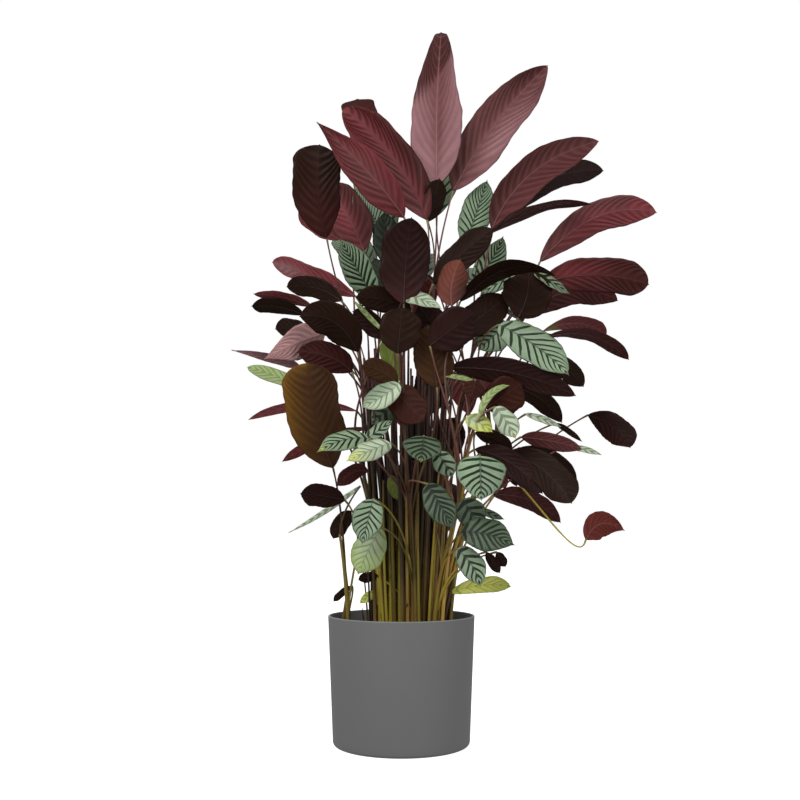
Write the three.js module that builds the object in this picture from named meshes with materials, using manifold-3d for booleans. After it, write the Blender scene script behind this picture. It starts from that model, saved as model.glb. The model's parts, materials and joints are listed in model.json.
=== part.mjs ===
// A potted never never plant: long leaves with wine undersides and silver striped tops on a clump of
// slender canes, in a plain grey tapered pot.
// Millimetres, +Z up. The pot's underside is centred on the origin, and the plant's front faces -Y.
import * as THREE from 'three';
import { mergeVertices } from 'three/addons/utils/BufferGeometryUtils.js';
import Module from 'manifold-3d';

const wasm = await Module();
wasm.setup();

// Driving dimensions
const GAP = 0.3;
const POT = {
  height: 213,
  rimRadius: 125,
  baseRadius: 115,
  wall: 4,
  floor: 7,
  footRounding: 6,
  footSteps: 3,
  lipRounding: 1.4,
  lipSteps: 2,
  sides: 48,
};
const SOIL = { edgeHeight: 182, crownHeight: 193, domeRings: 4 };
const CANE = { radius: 4, sides: 6, steps: 7, rootedDepth: 25 };
const PETIOLE = {
  radius: 2,
  sides: 5,
  steps: 6,
  leastRise: 200,
  risePerReach: 0.8,
  lowestStart: SOIL.crownHeight + 12,
  startBelowCaneTop: 4,
  stiffness: 0.35,
  upwardPull: 0.7,
};
const BLADE = {
  thickness: 1.2,
  columns: 2,
  rows: 11,
  narrowest: 2.2,
  fold: 6,
  widestAt: 0.5,
  closesAt: 0.97,
  bluntness: 0.55,
};

// Points nearer than this are one point.
const WELD = 1e-4;

const COLOURS = {
  pot: 0x6a6a6a,
  soil: 0x2c2119,
  stem: 0x6e5a2a,
  wine: 0x68303a,
  plum: 0x3f2024,
  olive: 0x46301a,
  silver: 0x87a08e,
  lime: 0xa0aa50,
};
const ROUGHNESS = { pot: 0.6, soil: 0.95, stem: 0.5, leaf: 0.45 };

// Each shoot is a cane from its foot in the soil to its top, and the leaves that it carries on stalks.
// A leaf's row holds its name, the tone of the side that faces out, its foot, its tip, how far the middle
// of its midrib bows off the straight line, where its striped side faces, its width, and, where they
// aren't the usual ones, its fold in degrees, the share of its length at which it is widest, and the
// height at which its stalk leaves the cane.
const SHOOTS = [
  {
    name: 'shoot_top',
    foot: [38, -8],
    top: [58, -8, 800],
    leaves: [
      ['top_leaf_centre', 'wine', [64, -10, 970], [76, 60, 1294], [-5, -18, -12], [0, 1, 0.1], 93, 6, 0.42],
      ['top_leaf_right', 'wine', [94, 15, 967], [283, 95, 1245], [-13, -12, -1], [0, 1, 0], 84, 8, 0.45],
      ['striped_leaf_top_right', 'silver', [116, 10, 867], [159, 50, 998], [0, 0, -1], [0, -1, 0.2], 58],
      ['upper_leaf_right_dark', 'plum', [56, -20, 786], [159, -60, 875], [-1, 0, 4], [0, 1, -0.2], 52, 8],
    ],
  },
  {
    name: 'shoot_top_left',
    foot: [13, 2],
    top: [-6, -26, 730],
    leaves: [
      ['top_leaf_left_high', 'wine', [45, -45, 894], [-108, 30, 1131], [15, -12, 6], [0, 1, 0.1],
        74, 8, 0.45],
      ['top_leaf_left_low', 'wine', [5, -62, 893], [-143, -130, 1038], [8, -10, -2], [0, 1, 0.1],
        64, 8, 0.45],
      ['top_leaf_left_back', 'plum', [-30, 30, 946], [-86, 120, 1188], [1, 0, -3], [0, 1, 0], 66, 10, 0.55],
    ],
  },
  {
    name: 'shoot_upper_right',
    foot: [58, 8],
    top: [132, 6, 690],
    leaves: [
      ['upper_leaf_right_high', 'wine', [162, 0, 891], [373, 70, 1083], [-24, 0, 23], [0, 1, 0],
        66, 8, 0.45],
      ['upper_leaf_right_behind', 'plum', [170, 40, 905], [395, 140, 1050], [-8, 0, 34], [0, 1, 0.1],
        46, 8, 0.6],
      ['upper_leaf_right_edge', 'plum', [155, -20, 876], [323, -100, 905], [-1, 0, 20], [0, 0, 1], 50, 4],
      ['upper_leaf_right_long', 'wine', [245, -15, 827], [438, -80, 896], [-1, 0, 37], [0, 1, 0.5], 56, 8],
      ['right_leaf_broad', 'wine', [238, -35, 781], [408, -130, 758], [3, 0, 17], [0, 1, 0.35], 60, 8, 0.55],
      ['right_leaf_under', 'plum', [205, -30, 721], [396, 50, 771], [2, 0, 34], [0, 1, 0.35], 50, 8],
    ],
  },
  {
    name: 'shoot_upper_left',
    foot: [-13, -8],
    top: [-72, -25, 650],
    leaves: [
      ['upper_leaf_left_dark', 'plum', [-130, -45, 862], [-139, -100, 1011], [-9, -12, -3], [0, 1, 0],
        82, 6, 0.58],
      ['upper_leaf_left_red', 'wine', [-67, 0, 851], [-145, 80, 1003], [6, 0, 4], [0, 1, 0.1], 76, 8],
      ['striped_leaf_left', 'silver', [-47, -40, 756], [-102, -90, 845], [-2, 0, 1], [0.1, -1, 0.2], 56],
      ['left_leaf_red_high', 'wine', [-80, -20, 764], [-240, 70, 849], [2, 0, 3], [0, 1, 0.7], 40, 6, 0.55],
      ['left_leaf_mauve', 'wine', [-130, -60, 691], [-221, -150, 631], [2, 0, 4], [0, 1, 0.4], 58, 6, 0.4],
    ],
  },
  {
    name: 'shoot_left',
    foot: [-35, -24],
    top: [-76, -48, 500],
    leaves: [
      ['left_leaf_dark_broad', 'plum', [-73, -90, 653], [-164, -170, 696], [7, 0, 22], [0, 1, 0.3],
        58, 8, 0.45],
      ['left_leaf_curled', 'wine', [-173, -50, 634], [-278, -130, 649], [2, 0, 2], [0, 1, 0.3], 16, 2, 0.3],
      ['left_leaf_maroon', 'plum', [-84, -60, 623], [-172, -120, 648], [8, 0, 9], [0, 1, 0.2], 48, 8],
      ['left_leaf_thin_red', 'wine', [-77, -20, 561], [-280, 80, 556], [2, 0, 18], [0, 0.7, 0.8],
        24, 6, 0.45],
    ],
  },
  {
    name: 'shoot_left_outer',
    foot: [-88, -42],
    top: [-102, -72, 350],
    leaves: [
      ['left_leaf_olive_big', 'olive', [-113, -85, 459], [-152, -135, 629], [-8, -8, 0], [0.1, 1, 0], 90],
      ['low_leaf_dark_left', 'plum', [-93, -90, 406], [-162, -140, 415], [-1, 0, 2], [0, 1, 0.2], 38, 8],
    ],
  },
  {
    name: 'shoot_front',
    foot: [20, -48],
    top: [6, -96, 500],
    leaves: [
      ['centre_leaf_dark', 'plum', [4, -120, 728], [17, -150, 867], [-3, 10, 3], [0, 1, 0], 82, 8, 0.48],
      ['centre_leaf_tall_olive', 'olive', [59, -100, 592], [44, -110, 696], [0, 0, 0], [0, 1, 0],
        66, 8, 0.45],
      ['inner_leaf_rust', 'plum', [-19, -112, 592], [37, -122, 533], [0, 0, 0], [0, 1, 0], 56],
      ['low_striped_centre', 'silver', [41, -180, 429], [80, -200, 360], [0, 0, 0], [0, -1, 0.2], 46],
    ],
  },
  {
    name: 'shoot_right',
    foot: [74, -18],
    top: [148, -46, 470],
    leaves: [
      ['right_leaf_arch', 'plum', [100, -70, 743], [250, -160, 765], [3, 0, 36], [0, 0.25, 1], 55],
      ['right_striped_big', 'silver', [162, -110, 695], [262, -185, 601], [6, 0, 4], [0, -1, 0.2], 62],
      ['right_leaf_far_low', 'wine', [243, -60, 682], [406, 20, 657], [4, 0, 25], [0, 0.6, 1], 30, 6, 0.6],
      ['right_leaf_long_dark', 'plum', [81, -95, 625], [275, -180, 567], [3, 0, 14], [0, 0.9, 0.5],
        46, 8, 0.45],
      ['right_leaf_alone', 'plum', [319, -40, 552], [374, -110, 490], [9, 0, 6], [0, 1, 0.2], 46, 6, 0.6],
      ['right_leaf_heart', 'wine', [318, 0, 340], [399, 60, 355], [-7, 0, 20], [-0.25, 1, 0], 46, 6, 0.42, 452],
      ['low_leaf_right_red', 'wine', [153, -60, 415], [279, 20, 369], [2, 0, 16], [0, 1, 0.3], 34, 8],
      ['low_leaf_yellow', 'lime', [84, -42, 254], [179, -80, 265], [4, 0, 7], [0, -0.9, 0.5], 30, 6, 0.65],
    ],
  },
  {
    name: 'shoot_front_right',
    foot: [56, -46],
    top: [90, -96, 380],
    leaves: [
      ['low_leaf_right_a', 'plum', [121, -100, 489], [224, -150, 414], [8, 0, 11], [0, 1, 0.2], 42],
      ['low_leaf_right_b', 'plum', [177, -112, 485], [264, -185, 398], [8, 0, 8], [0, 1, 0.2], 54, 8, 0.6],
      ['low_striped_heart', 'silver', [122, -190, 472], [120, -230, 403], [0, 0, -1], [0, -1, 0.3],
        78, 6, 0.4],
    ],
  },
  {
    name: 'shoot_back_left',
    foot: [0, 42],
    top: [-36, 100, 600],
    leaves: [
      ['back_leaf_upper_left', 'wine', [-60, 80, 810], [-120, 230, 950], [0, 20, 20], [0, -1, 0.8], 74, 8],
      ['back_leaf_upper_mid', 'plum', [25, 95, 800], [30, 260, 920], [0, 20, 25], [0, -1, 0.9], 84, 8],
      ['back_leaf_left', 'wine', [-80, 80, 710], [-175, 235, 770], [0, 10, 25], [0, -0.6, 1], 72, 8],
      ['back_leaf_low_mid', 'wine', [20, 125, 580], [10, 320, 560], [0, 10, 30], [0, -0.2, 1], 70, 8],
    ],
  },
  {
    name: 'shoot_back_right',
    foot: [48, 44],
    top: [88, 98, 640],
    leaves: [
      ['back_leaf_top', 'wine', [65, 50, 930], [85, 140, 1160], [0, 25, 10], [0, -1, 0.5], 80, 8],
      ['back_leaf_upper_right', 'wine', [110, 80, 800], [205, 220, 850], [0, 20, 25], [0, -1, 0.9], 70, 8],
      ['back_leaf_mid', 'plum', [40, 115, 690], [60, 300, 750], [0, 10, 30], [0, -0.5, 1], 82, 8],
      ['back_leaf_right', 'plum', [130, 90, 740], [245, 240, 770], [0, 10, 30], [0, -0.5, 1], 70, 8],
    ],
  },
];

const UP = new THREE.Vector3(0, 0, 1);

function vector([x, y, z]) {
  return new THREE.Vector3(x, y, z);
}

// Solids: a closed geometry as a manifold, and a manifold as a geometry again
function solidFrom(geometry) {
  const bare = geometry.clone();
  bare.deleteAttribute('normal');
  bare.deleteAttribute('uv');
  const merged = mergeVertices(bare, WELD);
  const vertProperties = merged.attributes.position.array;
  const triVerts = new Uint32Array(merged.index.array);
  return new wasm.Manifold(new wasm.Mesh({ numProp: 3, vertProperties, triVerts }));
}

function geometryFrom(solid) {
  const { vertProperties, triVerts } = solid.getMesh();
  const geometry = new THREE.BufferGeometry();
  geometry.setAttribute('position', new THREE.BufferAttribute(vertProperties, 3));
  geometry.setIndex(new THREE.BufferAttribute(triVerts, 1));
  geometry.computeVertexNormals();
  return geometry;
}

function join(solids) {
  return solids.reduce((whole, next) => whole.add(next));
}

function largestBody(solid) {
  const bodies = solid.decompose();
  return bodies.reduce((best, body) => (body.volume() > best.volume() ? body : best));
}

// The pot and its soil are turned round the pot's axis.
function turned(profile) {
  const geometry = new THREE.LatheGeometry(profile, POT.sides);
  geometry.rotateX(Math.PI / 2);
  return geometry;
}

function outerRadiusAt(height) {
  return THREE.MathUtils.mapLinear(height, 0, POT.height, POT.baseRadius, POT.rimRadius);
}

function innerRadiusAt(height) {
  return outerRadiusAt(height) - POT.wall;
}

function roundedCorner(centreRadius, centreHeight, rounding, fromAngle, toAngle, steps) {
  const points = [];
  for (let step = 0; step <= steps; step += 1) {
    const angle = THREE.MathUtils.lerp(fromAngle, toAngle, step / steps);
    const radius = centreRadius + rounding * Math.cos(angle);
    points.push(new THREE.Vector2(radius, centreHeight + rounding * Math.sin(angle)));
  }
  return points;
}

function potGeometry() {
  const foot = POT.footRounding;
  const lip = POT.lipRounding;
  const lipHeight = POT.height - lip;
  const innerRim = POT.rimRadius - POT.wall;
  const profile = [
    new THREE.Vector2(0, 0),
    ...roundedCorner(outerRadiusAt(foot) - foot, foot, foot, -Math.PI / 2, 0, POT.footSteps),
    ...roundedCorner(POT.rimRadius - lip, lipHeight, lip, 0, Math.PI / 2, POT.lipSteps),
    ...roundedCorner(innerRim + lip, lipHeight, lip, Math.PI / 2, Math.PI, POT.lipSteps),
    new THREE.Vector2(innerRadiusAt(POT.floor), POT.floor),
    new THREE.Vector2(0, POT.floor),
  ];
  return turned(profile);
}

function soilHeightAt(radius) {
  const share = Math.min(radius / innerRadiusAt(SOIL.edgeHeight), 1);
  const dome = Math.cos((share * Math.PI) / 2) ** 2;
  return THREE.MathUtils.lerp(SOIL.edgeHeight, SOIL.crownHeight, dome);
}

function soilGeometry() {
  const bottom = POT.floor + GAP;
  const topRadius = innerRadiusAt(SOIL.edgeHeight) - GAP;
  const profile = [
    new THREE.Vector2(0, bottom),
    new THREE.Vector2(innerRadiusAt(bottom) - GAP, bottom),
  ];
  for (let ring = 0; ring <= SOIL.domeRings; ring += 1) {
    const radius = topRadius * (1 - ring / SOIL.domeRings);
    profile.push(new THREE.Vector2(radius, soilHeightAt(radius)));
  }
  return turned(profile);
}

// A round stem along a curve
function tubeGeometry(curve, radius, sides, steps) {
  const section = new THREE.Shape();
  for (let side = 0; side < sides; side += 1) {
    const angle = (2 * Math.PI * side) / sides;
    const x = radius * Math.cos(angle);
    const y = radius * Math.sin(angle);
    if (side === 0) section.moveTo(x, y);
    else section.lineTo(x, y);
  }
  return new THREE.ExtrudeGeometry(section, { steps, extrudePath: curve, bevelEnabled: false });
}

function caneCurve({ foot, top }) {
  const [x, y] = foot;
  const start = new THREE.Vector3(x, y, soilHeightAt(Math.hypot(x, y)) - CANE.rootedDepth);
  const end = vector(top);
  const straight = new THREE.Vector3(x, y, THREE.MathUtils.lerp(start.z, end.z, 0.5));
  return new THREE.QuadraticBezierCurve3(start, straight, end);
}

function pointAtHeight(curve, height) {
  const start = curve.getPoint(0);
  const end = curve.getPoint(1);
  const share = THREE.MathUtils.clamp((height - start.z) / (end.z - start.z), 0, 1);
  return { point: curve.getPoint(share), direction: curve.getTangent(share) };
}

// A leaf's midrib, from its foot to its tip
function midribCurve(leaf) {
  const between = leaf.foot.clone().add(leaf.tip).multiplyScalar(0.5);
  const control = between.addScaledVector(leaf.bow, 2);
  return new THREE.QuadraticBezierCurve3(leaf.foot, control, leaf.tip);
}

// The way a stalk runs as it meets its blade: along the midrib, tipped upwards
function stalkArrival(leaf) {
  return leaf.midrib.getTangent(0).addScaledVector(UP, PETIOLE.upwardPull).normalize();
}

// The height at which a stalk leaves its cane: the lower, the farther out its leaf is
function stalkStartHeight(leaf, cane) {
  if (leaf.stalkStart) return leaf.stalkStart;
  const beside = pointAtHeight(cane, leaf.foot.z).point;
  const reach = Math.hypot(leaf.foot.x - beside.x, leaf.foot.y - beside.y);
  const rise = PETIOLE.leastRise + PETIOLE.risePerReach * reach;
  const caneTop = cane.getPoint(1).z - PETIOLE.startBelowCaneTop;
  return THREE.MathUtils.clamp(leaf.foot.z - rise, PETIOLE.lowestStart, caneTop);
}

// A leaf stalk leaves its cane along the cane and meets the blade along the midrib.
function petioleCurve(leaf, cane) {
  const startHeight = stalkStartHeight(leaf, cane);
  const { point: start, direction: leave } = pointAtHeight(cane, startHeight);
  const pull = PETIOLE.stiffness * start.distanceTo(leaf.foot);
  const afterStart = start.clone().addScaledVector(leave, pull);
  const beforeFoot = leaf.foot.clone().addScaledVector(stalkArrival(leaf), -pull);
  return new THREE.CubicBezierCurve3(start, afterStart, beforeFoot, leaf.foot);
}

// A tube as a solid, and the same tube with the gap round it that its neighbours keep
function stem(curve, { radius, sides, steps }) {
  return {
    body: solidFrom(tubeGeometry(curve, radius, sides, steps)),
    room: solidFrom(tubeGeometry(curve, radius + GAP, sides, steps)),
  };
}

// Half the leaf's width at a share of its length: full in the middle, and drawn in to both ends
function halfWidthAt(leaf, share) {
  const power = Math.log(0.5) / Math.log(leaf.widestAt);
  const inside = Math.min(share / BLADE.closesAt, 1) ** power;
  const outline = Math.max(Math.sin(Math.PI * inside), 0) ** BLADE.bluntness;
  return Math.max((leaf.width / 2) * outline, BLADE.narrowest / 2);
}

// The share of the midrib at which a blade starts: past the gap and half of the stalk's tipped end
function bladeStart(leaf) {
  const tipped = stalkArrival(leaf).cross(leaf.midrib.getTangent(0)).length();
  return (GAP + (PETIOLE.radius / 2) * tipped) / leaf.midrib.getLength();
}

// A flat block, gridded along and across, is laid along the midrib.
function bladeGeometry(leaf, thickness) {
  const sheet = new THREE.BoxGeometry(1, 1, 1, BLADE.columns, BLADE.rows, 1);
  const place = sheet.attributes.position;
  const fold = THREE.MathUtils.degToRad(leaf.fold);
  const start = bladeStart(leaf);
  for (let i = 0; i < place.count; i += 1) {
    const across = 2 * place.getX(i);
    const share = THREE.MathUtils.lerp(start, 1, place.getY(i) + 0.5);
    const above = place.getZ(i) * thickness;
    const along = leaf.midrib.getTangent(share);
    const face = leaf.face.clone().addScaledVector(along, -leaf.face.dot(along)).normalize();
    const side = new THREE.Vector3().crossVectors(along, face);
    const half = halfWidthAt(leaf, share);
    const point = leaf.midrib.getPoint(share);
    point.addScaledVector(side, across * half * Math.cos(fold));
    point.addScaledVector(face, Math.abs(across) * half * Math.sin(fold) + above);
    place.setXYZ(i, point.x, point.y, point.z);
  }
  return sheet;
}

function bladeSolid(leaf, thickness) {
  const solid = solidFrom(bladeGeometry(leaf, thickness));
  return solid.volume() < 0 ? solidFrom(bladeGeometry(leaf, -thickness)) : solid;
}

function readLeaf(row) {
  const [name, tone, foot, tip, bow, face, width, ...shape] = row;
  const [fold = BLADE.fold, widestAt = BLADE.widestAt, stalkStart] = shape;
  const leaf = { name, tone, width, fold, widestAt, stalkStart };
  leaf.foot = vector(foot);
  leaf.tip = vector(tip);
  leaf.bow = vector(bow);
  leaf.face = vector(face);
  leaf.midrib = midribCurve(leaf);
  return leaf;
}

// A shoot's cane and its stalks
function growShoot(shoot) {
  const cane = caneCurve(shoot);
  const leaves = shoot.leaves.map(readLeaf);
  const stems = [stem(cane, CANE), ...leaves.map((leaf) => stem(petioleCurve(leaf, cane), PETIOLE))];
  const body = join(stems.map((each) => each.body));
  const room = join(stems.map((each) => each.room));
  return { name: shoot.name, leaves, body, room };
}

function partMesh(name, geometry, colour, roughness) {
  const material = new THREE.MeshStandardMaterial({ color: colour, roughness, metalness: 0 });
  const mesh = new THREE.Mesh(geometry, material);
  mesh.name = name;
  return mesh;
}

const plant = new THREE.Group();
const shoots = SHOOTS.map(growShoot);
const stems = join(shoots.map((shoot) => shoot.room));
const soil = largestBody(solidFrom(soilGeometry()).subtract(stems));

plant.add(partMesh('pot', potGeometry(), COLOURS.pot, ROUGHNESS.pot));
plant.add(partMesh('soil', geometryFrom(soil), COLOURS.soil, ROUGHNESS.soil));
for (const shoot of shoots) {
  plant.add(partMesh(shoot.name, geometryFrom(shoot.body), COLOURS.stem, ROUGHNESS.stem));
}

// Each blade keeps clear of the stems and of the blades before it.
let taken = stems;
for (const leaf of shoots.flatMap((shoot) => shoot.leaves)) {
  const blade = largestBody(bladeSolid(leaf, BLADE.thickness).subtract(taken));
  plant.add(partMesh(leaf.name, geometryFrom(blade), COLOURS[leaf.tone], ROUGHNESS.leaf));
  taken = taken.add(bladeSolid(leaf, BLADE.thickness + 2 * GAP));
}

export default plant;
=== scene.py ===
import json
import math
import random
from typing import NamedTuple

import bpy
import numpy as np
from bpy.props import FloatProperty, FloatVectorProperty, IntProperty, PointerProperty
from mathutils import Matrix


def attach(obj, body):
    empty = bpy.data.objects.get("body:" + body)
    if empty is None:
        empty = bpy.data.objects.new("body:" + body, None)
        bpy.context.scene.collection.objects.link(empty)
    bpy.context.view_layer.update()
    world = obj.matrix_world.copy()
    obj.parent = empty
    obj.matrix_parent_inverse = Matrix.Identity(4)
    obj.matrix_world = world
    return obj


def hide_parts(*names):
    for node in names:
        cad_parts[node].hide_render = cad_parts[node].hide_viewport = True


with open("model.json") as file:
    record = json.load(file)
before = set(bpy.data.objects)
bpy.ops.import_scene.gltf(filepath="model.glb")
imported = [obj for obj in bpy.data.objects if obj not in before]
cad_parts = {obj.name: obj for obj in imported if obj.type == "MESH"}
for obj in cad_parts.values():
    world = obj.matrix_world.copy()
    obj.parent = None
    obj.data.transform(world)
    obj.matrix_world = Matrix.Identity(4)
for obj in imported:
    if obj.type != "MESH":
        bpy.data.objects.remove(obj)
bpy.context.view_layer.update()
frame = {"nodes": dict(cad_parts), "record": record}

bl_info = {
    "name": "Potted never never plant",
    "version": (1, 0, 0),
    "blender": (4, 5, 0),
    "location": "3D View > Sidebar > Plant",
    "description": "Builds a never never plant, its canes, leaves, soil and pot, round a packed frame",
    "category": "Add Mesh",
}

# Places in the tables of canes, leaves and old stalks are millimetres in the frame of the part.
# Everything else is in metres, as in Blender.
MM = 0.001
UP = np.array((0.0, 0.0, 1.0))


class Leaf(NamedTuple):
    """A leaf: where its midrib runs, which way its striped side looks, and its outline."""

    name: str
    tone: str
    foot: tuple
    tip: tuple
    bow: tuple
    face: tuple
    width: float
    fold: float = 6
    widest: float = 0.5
    stalk_start: float = 0


class Shoot(NamedTuple):
    """A cane from the soil to its top, and the leaves on it."""

    name: str
    foot: tuple
    top: tuple
    leaves: list


SHOOTS = []


def shoot(name, foot, top, *rows):
    """Adds a cane to the plant, with a leaf for each row of values."""
    SHOOTS.append(Shoot(name, foot, top, [Leaf(*row) for row in rows]))


shoot(
    "shoot_top", (38, -8), (58, -8, 800),
    ("top_leaf_centre", "mauve", (64, -10, 970), (76, 60, 1294), (-5, -18, -12), (0, 1, 0.1), 93, 6, 0.42),
    ("top_leaf_right", "rose", (94, 15, 967), (283, 95, 1245), (-13, -12, -1), (0, 1, 0), 84, 8, 0.45),
    ("top_leaf_small", "umber", (47, -15, 900), (68, -40, 972), (0, 0, 0), (-0.5, 1, 0), 42),
    ("striped_leaf_top_right", "silver", (116, 10, 867), (159, 50, 998), (0, 0, -1), (0, -1, 0.2), 58),
    ("striped_leaf_right_back", "silver", (131, 20, 801), (189, 70, 897), (3, 0, -6), (0, -1, 0.2), 48),
    ("upper_leaf_right_dark", "umber", (56, -20, 786), (159, -60, 875), (-1, 0, 4), (0, 1, -0.2), 52, 8, 0.5),
)
shoot(
    "shoot_top_left", (13, 2), (-6, -26, 730),
    ("top_leaf_left_high", "wine", (45, -45, 894), (-108, 30, 1131), (15, -12, 6), (0, 1, 0.1), 74, 8, 0.45),
    ("top_leaf_left_low", "wine", (5, -62, 893), (-143, -130, 1038), (8, -10, -2), (0, 1, 0.1), 64, 8, 0.45),
    ("top_leaf_left_back", "umber", (-30, 30, 946), (-86, 120, 1188), (1, 0, -3), (0, 1, 0), 66, 10, 0.55),
    ("striped_leaf_top_left", "silver", (-31, 25, 893), (-86, 60, 986), (0, 0, -1), (0, -1, 0), 54),
    ("striped_leaf_shaded", "silver_deep", (-22, 10, 830), (-31, 20, 929), (0, 0, 0), (0, -1, 0), 54),
    ("striped_leaf_left_inner", "silver_deep", (-24, 0, 756), (-49, 10, 841), (4, 0, 0), (0, -1, 0), 54),
)
shoot(
    "shoot_upper_right", (58, 8), (132, 6, 690),
    ("upper_leaf_right_high", "wine_brown", (162, 0, 891), (373, 70, 1083),
     (-24, 0, 23), (0, 1, 0), 66, 8, 0.45),
    ("upper_leaf_right_behind", "plum", (170, 40, 905), (395, 140, 1050),
     (-8, 0, 34), (0, 1, 0.1), 46, 8, 0.6),
    ("upper_leaf_right_edge", "wine_dark", (155, -20, 876), (323, -100, 905),
     (-1, 0, 20), (0, 0, 1), 50, 4, 0.5),
    ("upper_leaf_right_long", "rose", (245, -15, 827), (438, -80, 896), (-1, 0, 37), (0, 1, 0.5), 56, 8, 0.5),
    ("right_leaf_broad", "wine_dark", (238, -35, 781), (408, -130, 758),
     (3, 0, 17), (0, 1, 0.35), 60, 8, 0.55),
    ("right_leaf_under", "wine_dark", (205, -30, 721), (396, 50, 771), (2, 0, 34), (0, 1, 0.35), 50, 8, 0.5),
    ("right_leaf_dark", "umber", (198, -75, 714), (215, -85, 795), (7, 0, 0), (0, 1, 0), 84, 8, 0.5),
    ("right_leaf_pale_tip", "silver", (224, -80, 792), (288, -60, 759), (0, 0, 2), (0, -0.7, 0.7), 40),
    ("right_leaf_pale_strip", "silver", (205, -65, 798), (136, -50, 759), (0, 0, 2), (0, -0.8, 0.5), 34),
)
shoot(
    "shoot_upper_left", (-13, -8), (-72, -25, 650),
    ("upper_leaf_left_dark", "umber", (-130, -45, 862), (-139, -100, 1011),
     (-9, -12, -3), (0, 1, 0), 82, 6, 0.58),
    ("upper_leaf_left_red", "wine_brown", (-67, 0, 851), (-145, 80, 1003),
     (6, 0, 4), (0, 1, 0.1), 76, 8, 0.5),
    ("upper_leaf_left_far", "wine", (-113, 50, 886), (-198, 120, 961), (1, 0, -1), (0, 1, 0), 36),
    ("striped_leaf_left", "silver", (-47, -40, 756), (-102, -90, 845), (-2, 0, 1), (0.1, -1, 0.2), 56),
    ("left_leaf_red_high", "wine_red", (-80, -20, 764), (-240, 70, 849), (2, 0, 3), (0, 1, 0.7), 40, 6, 0.55),
    ("left_leaf_brown_high", "umber", (-105, -30, 753), (-207, 20, 790), (4, 0, 11), (0, 1, 0.5), 38),
    ("left_leaf_red_thin", "wine_red", (-156, -30, 743), (-250, -90, 752), (2, 0, 5), (0, 0.5, 1), 28),
    ("left_leaf_dark_low", "umber", (-169, -40, 726), (-255, -80, 733), (3, 0, 7), (0, 0.7, 1), 34, 6, 0.6),
    ("left_leaf_mauve", "mauve_pale", (-130, -60, 691), (-221, -150, 631),
     (2, 0, 4), (0, 1, 0.4), 58, 6, 0.4),
    ("left_leaf_hidden", "umber", (-162, -30, 691), (-225, 10, 711), (0, 0, 7), (0, 1, 0.2), 34),
)
shoot(
    "shoot_left", (-35, -24), (-76, -48, 500),
    ("left_leaf_dark_broad", "umber", (-73, -90, 653), (-164, -170, 696),
     (7, 0, 22), (0, 1, 0.3), 58, 8, 0.45),
    ("left_leaf_curled", "mauve", (-173, -50, 634), (-278, -130, 649), (2, 0, 2), (0, 1, 0.3), 16, 2, 0.3),
    ("left_leaf_maroon", "wine_dark", (-84, -60, 623), (-172, -120, 648), (8, 0, 9), (0, 1, 0.2), 48, 8, 0.5),
    ("left_leaf_pale", "lime_pale", (-158, 10, 598), (-281, 60, 651), (1, 0, 3), (0, -1, 0.5), 30, 6, 0.65),
    ("left_leaf_thin_red", "wine_red", (-77, -20, 561), (-280, 80, 556),
     (2, 0, 18), (0, 0.7, 0.8), 24, 6, 0.45),
    ("left_leaf_thin_low", "wine", (-58, -10, 533), (-215, 60, 478), (1, 0, 11), (0, 0.8, 0.6), 22, 6, 0.6),
    ("inner_leaf_maroon", "plum", (-31, -60, 679), (-84, -70, 727), (3, 0, 5), (0, 1, 0.2), 36),
    ("inner_leaf_green_edge", "lime_pale", (-31, -75, 691), (-82, -85, 743),
     (0, 0, 0), (0, -1, 0.2), 9, 4, 0.5),
    ("low_leaf_red_left", "wine_dark", (-56, -60, 454), (-106, -90, 428), (0, 0, 11), (0, 1, 0.4), 28),
    ("low_leaf_brown_left", "umber", (-84, -60, 389), (-114, -60, 342), (-2, 0, 2), (0, 1, 0), 28),
)
shoot(
    "shoot_left_outer", (-88, -42), (-102, -72, 350),
    ("left_leaf_olive_big", "olive", (-113, -85, 459), (-152, -135, 629), (-8, -8, 0), (0.1, 1, 0), 90),
    ("low_leaf_dark_left", "plum", (-93, -90, 406), (-162, -140, 415), (-1, 0, 2), (0, 1, 0.2), 38, 8, 0.5),
    ("low_leaf_thin_left", "silver_pale", (-68, -90, 429), (-191, -40, 352),
     (1, 0, -3), (0, -0.8, 0.6), 12, 4, 0.4),
    ("low_leaf_stub_left", "umber", (-83, -30, 263), (-114, -40, 238), (0, 0, 3), (0, 1, 0.3), 12, 4, 0.6),
)
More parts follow.
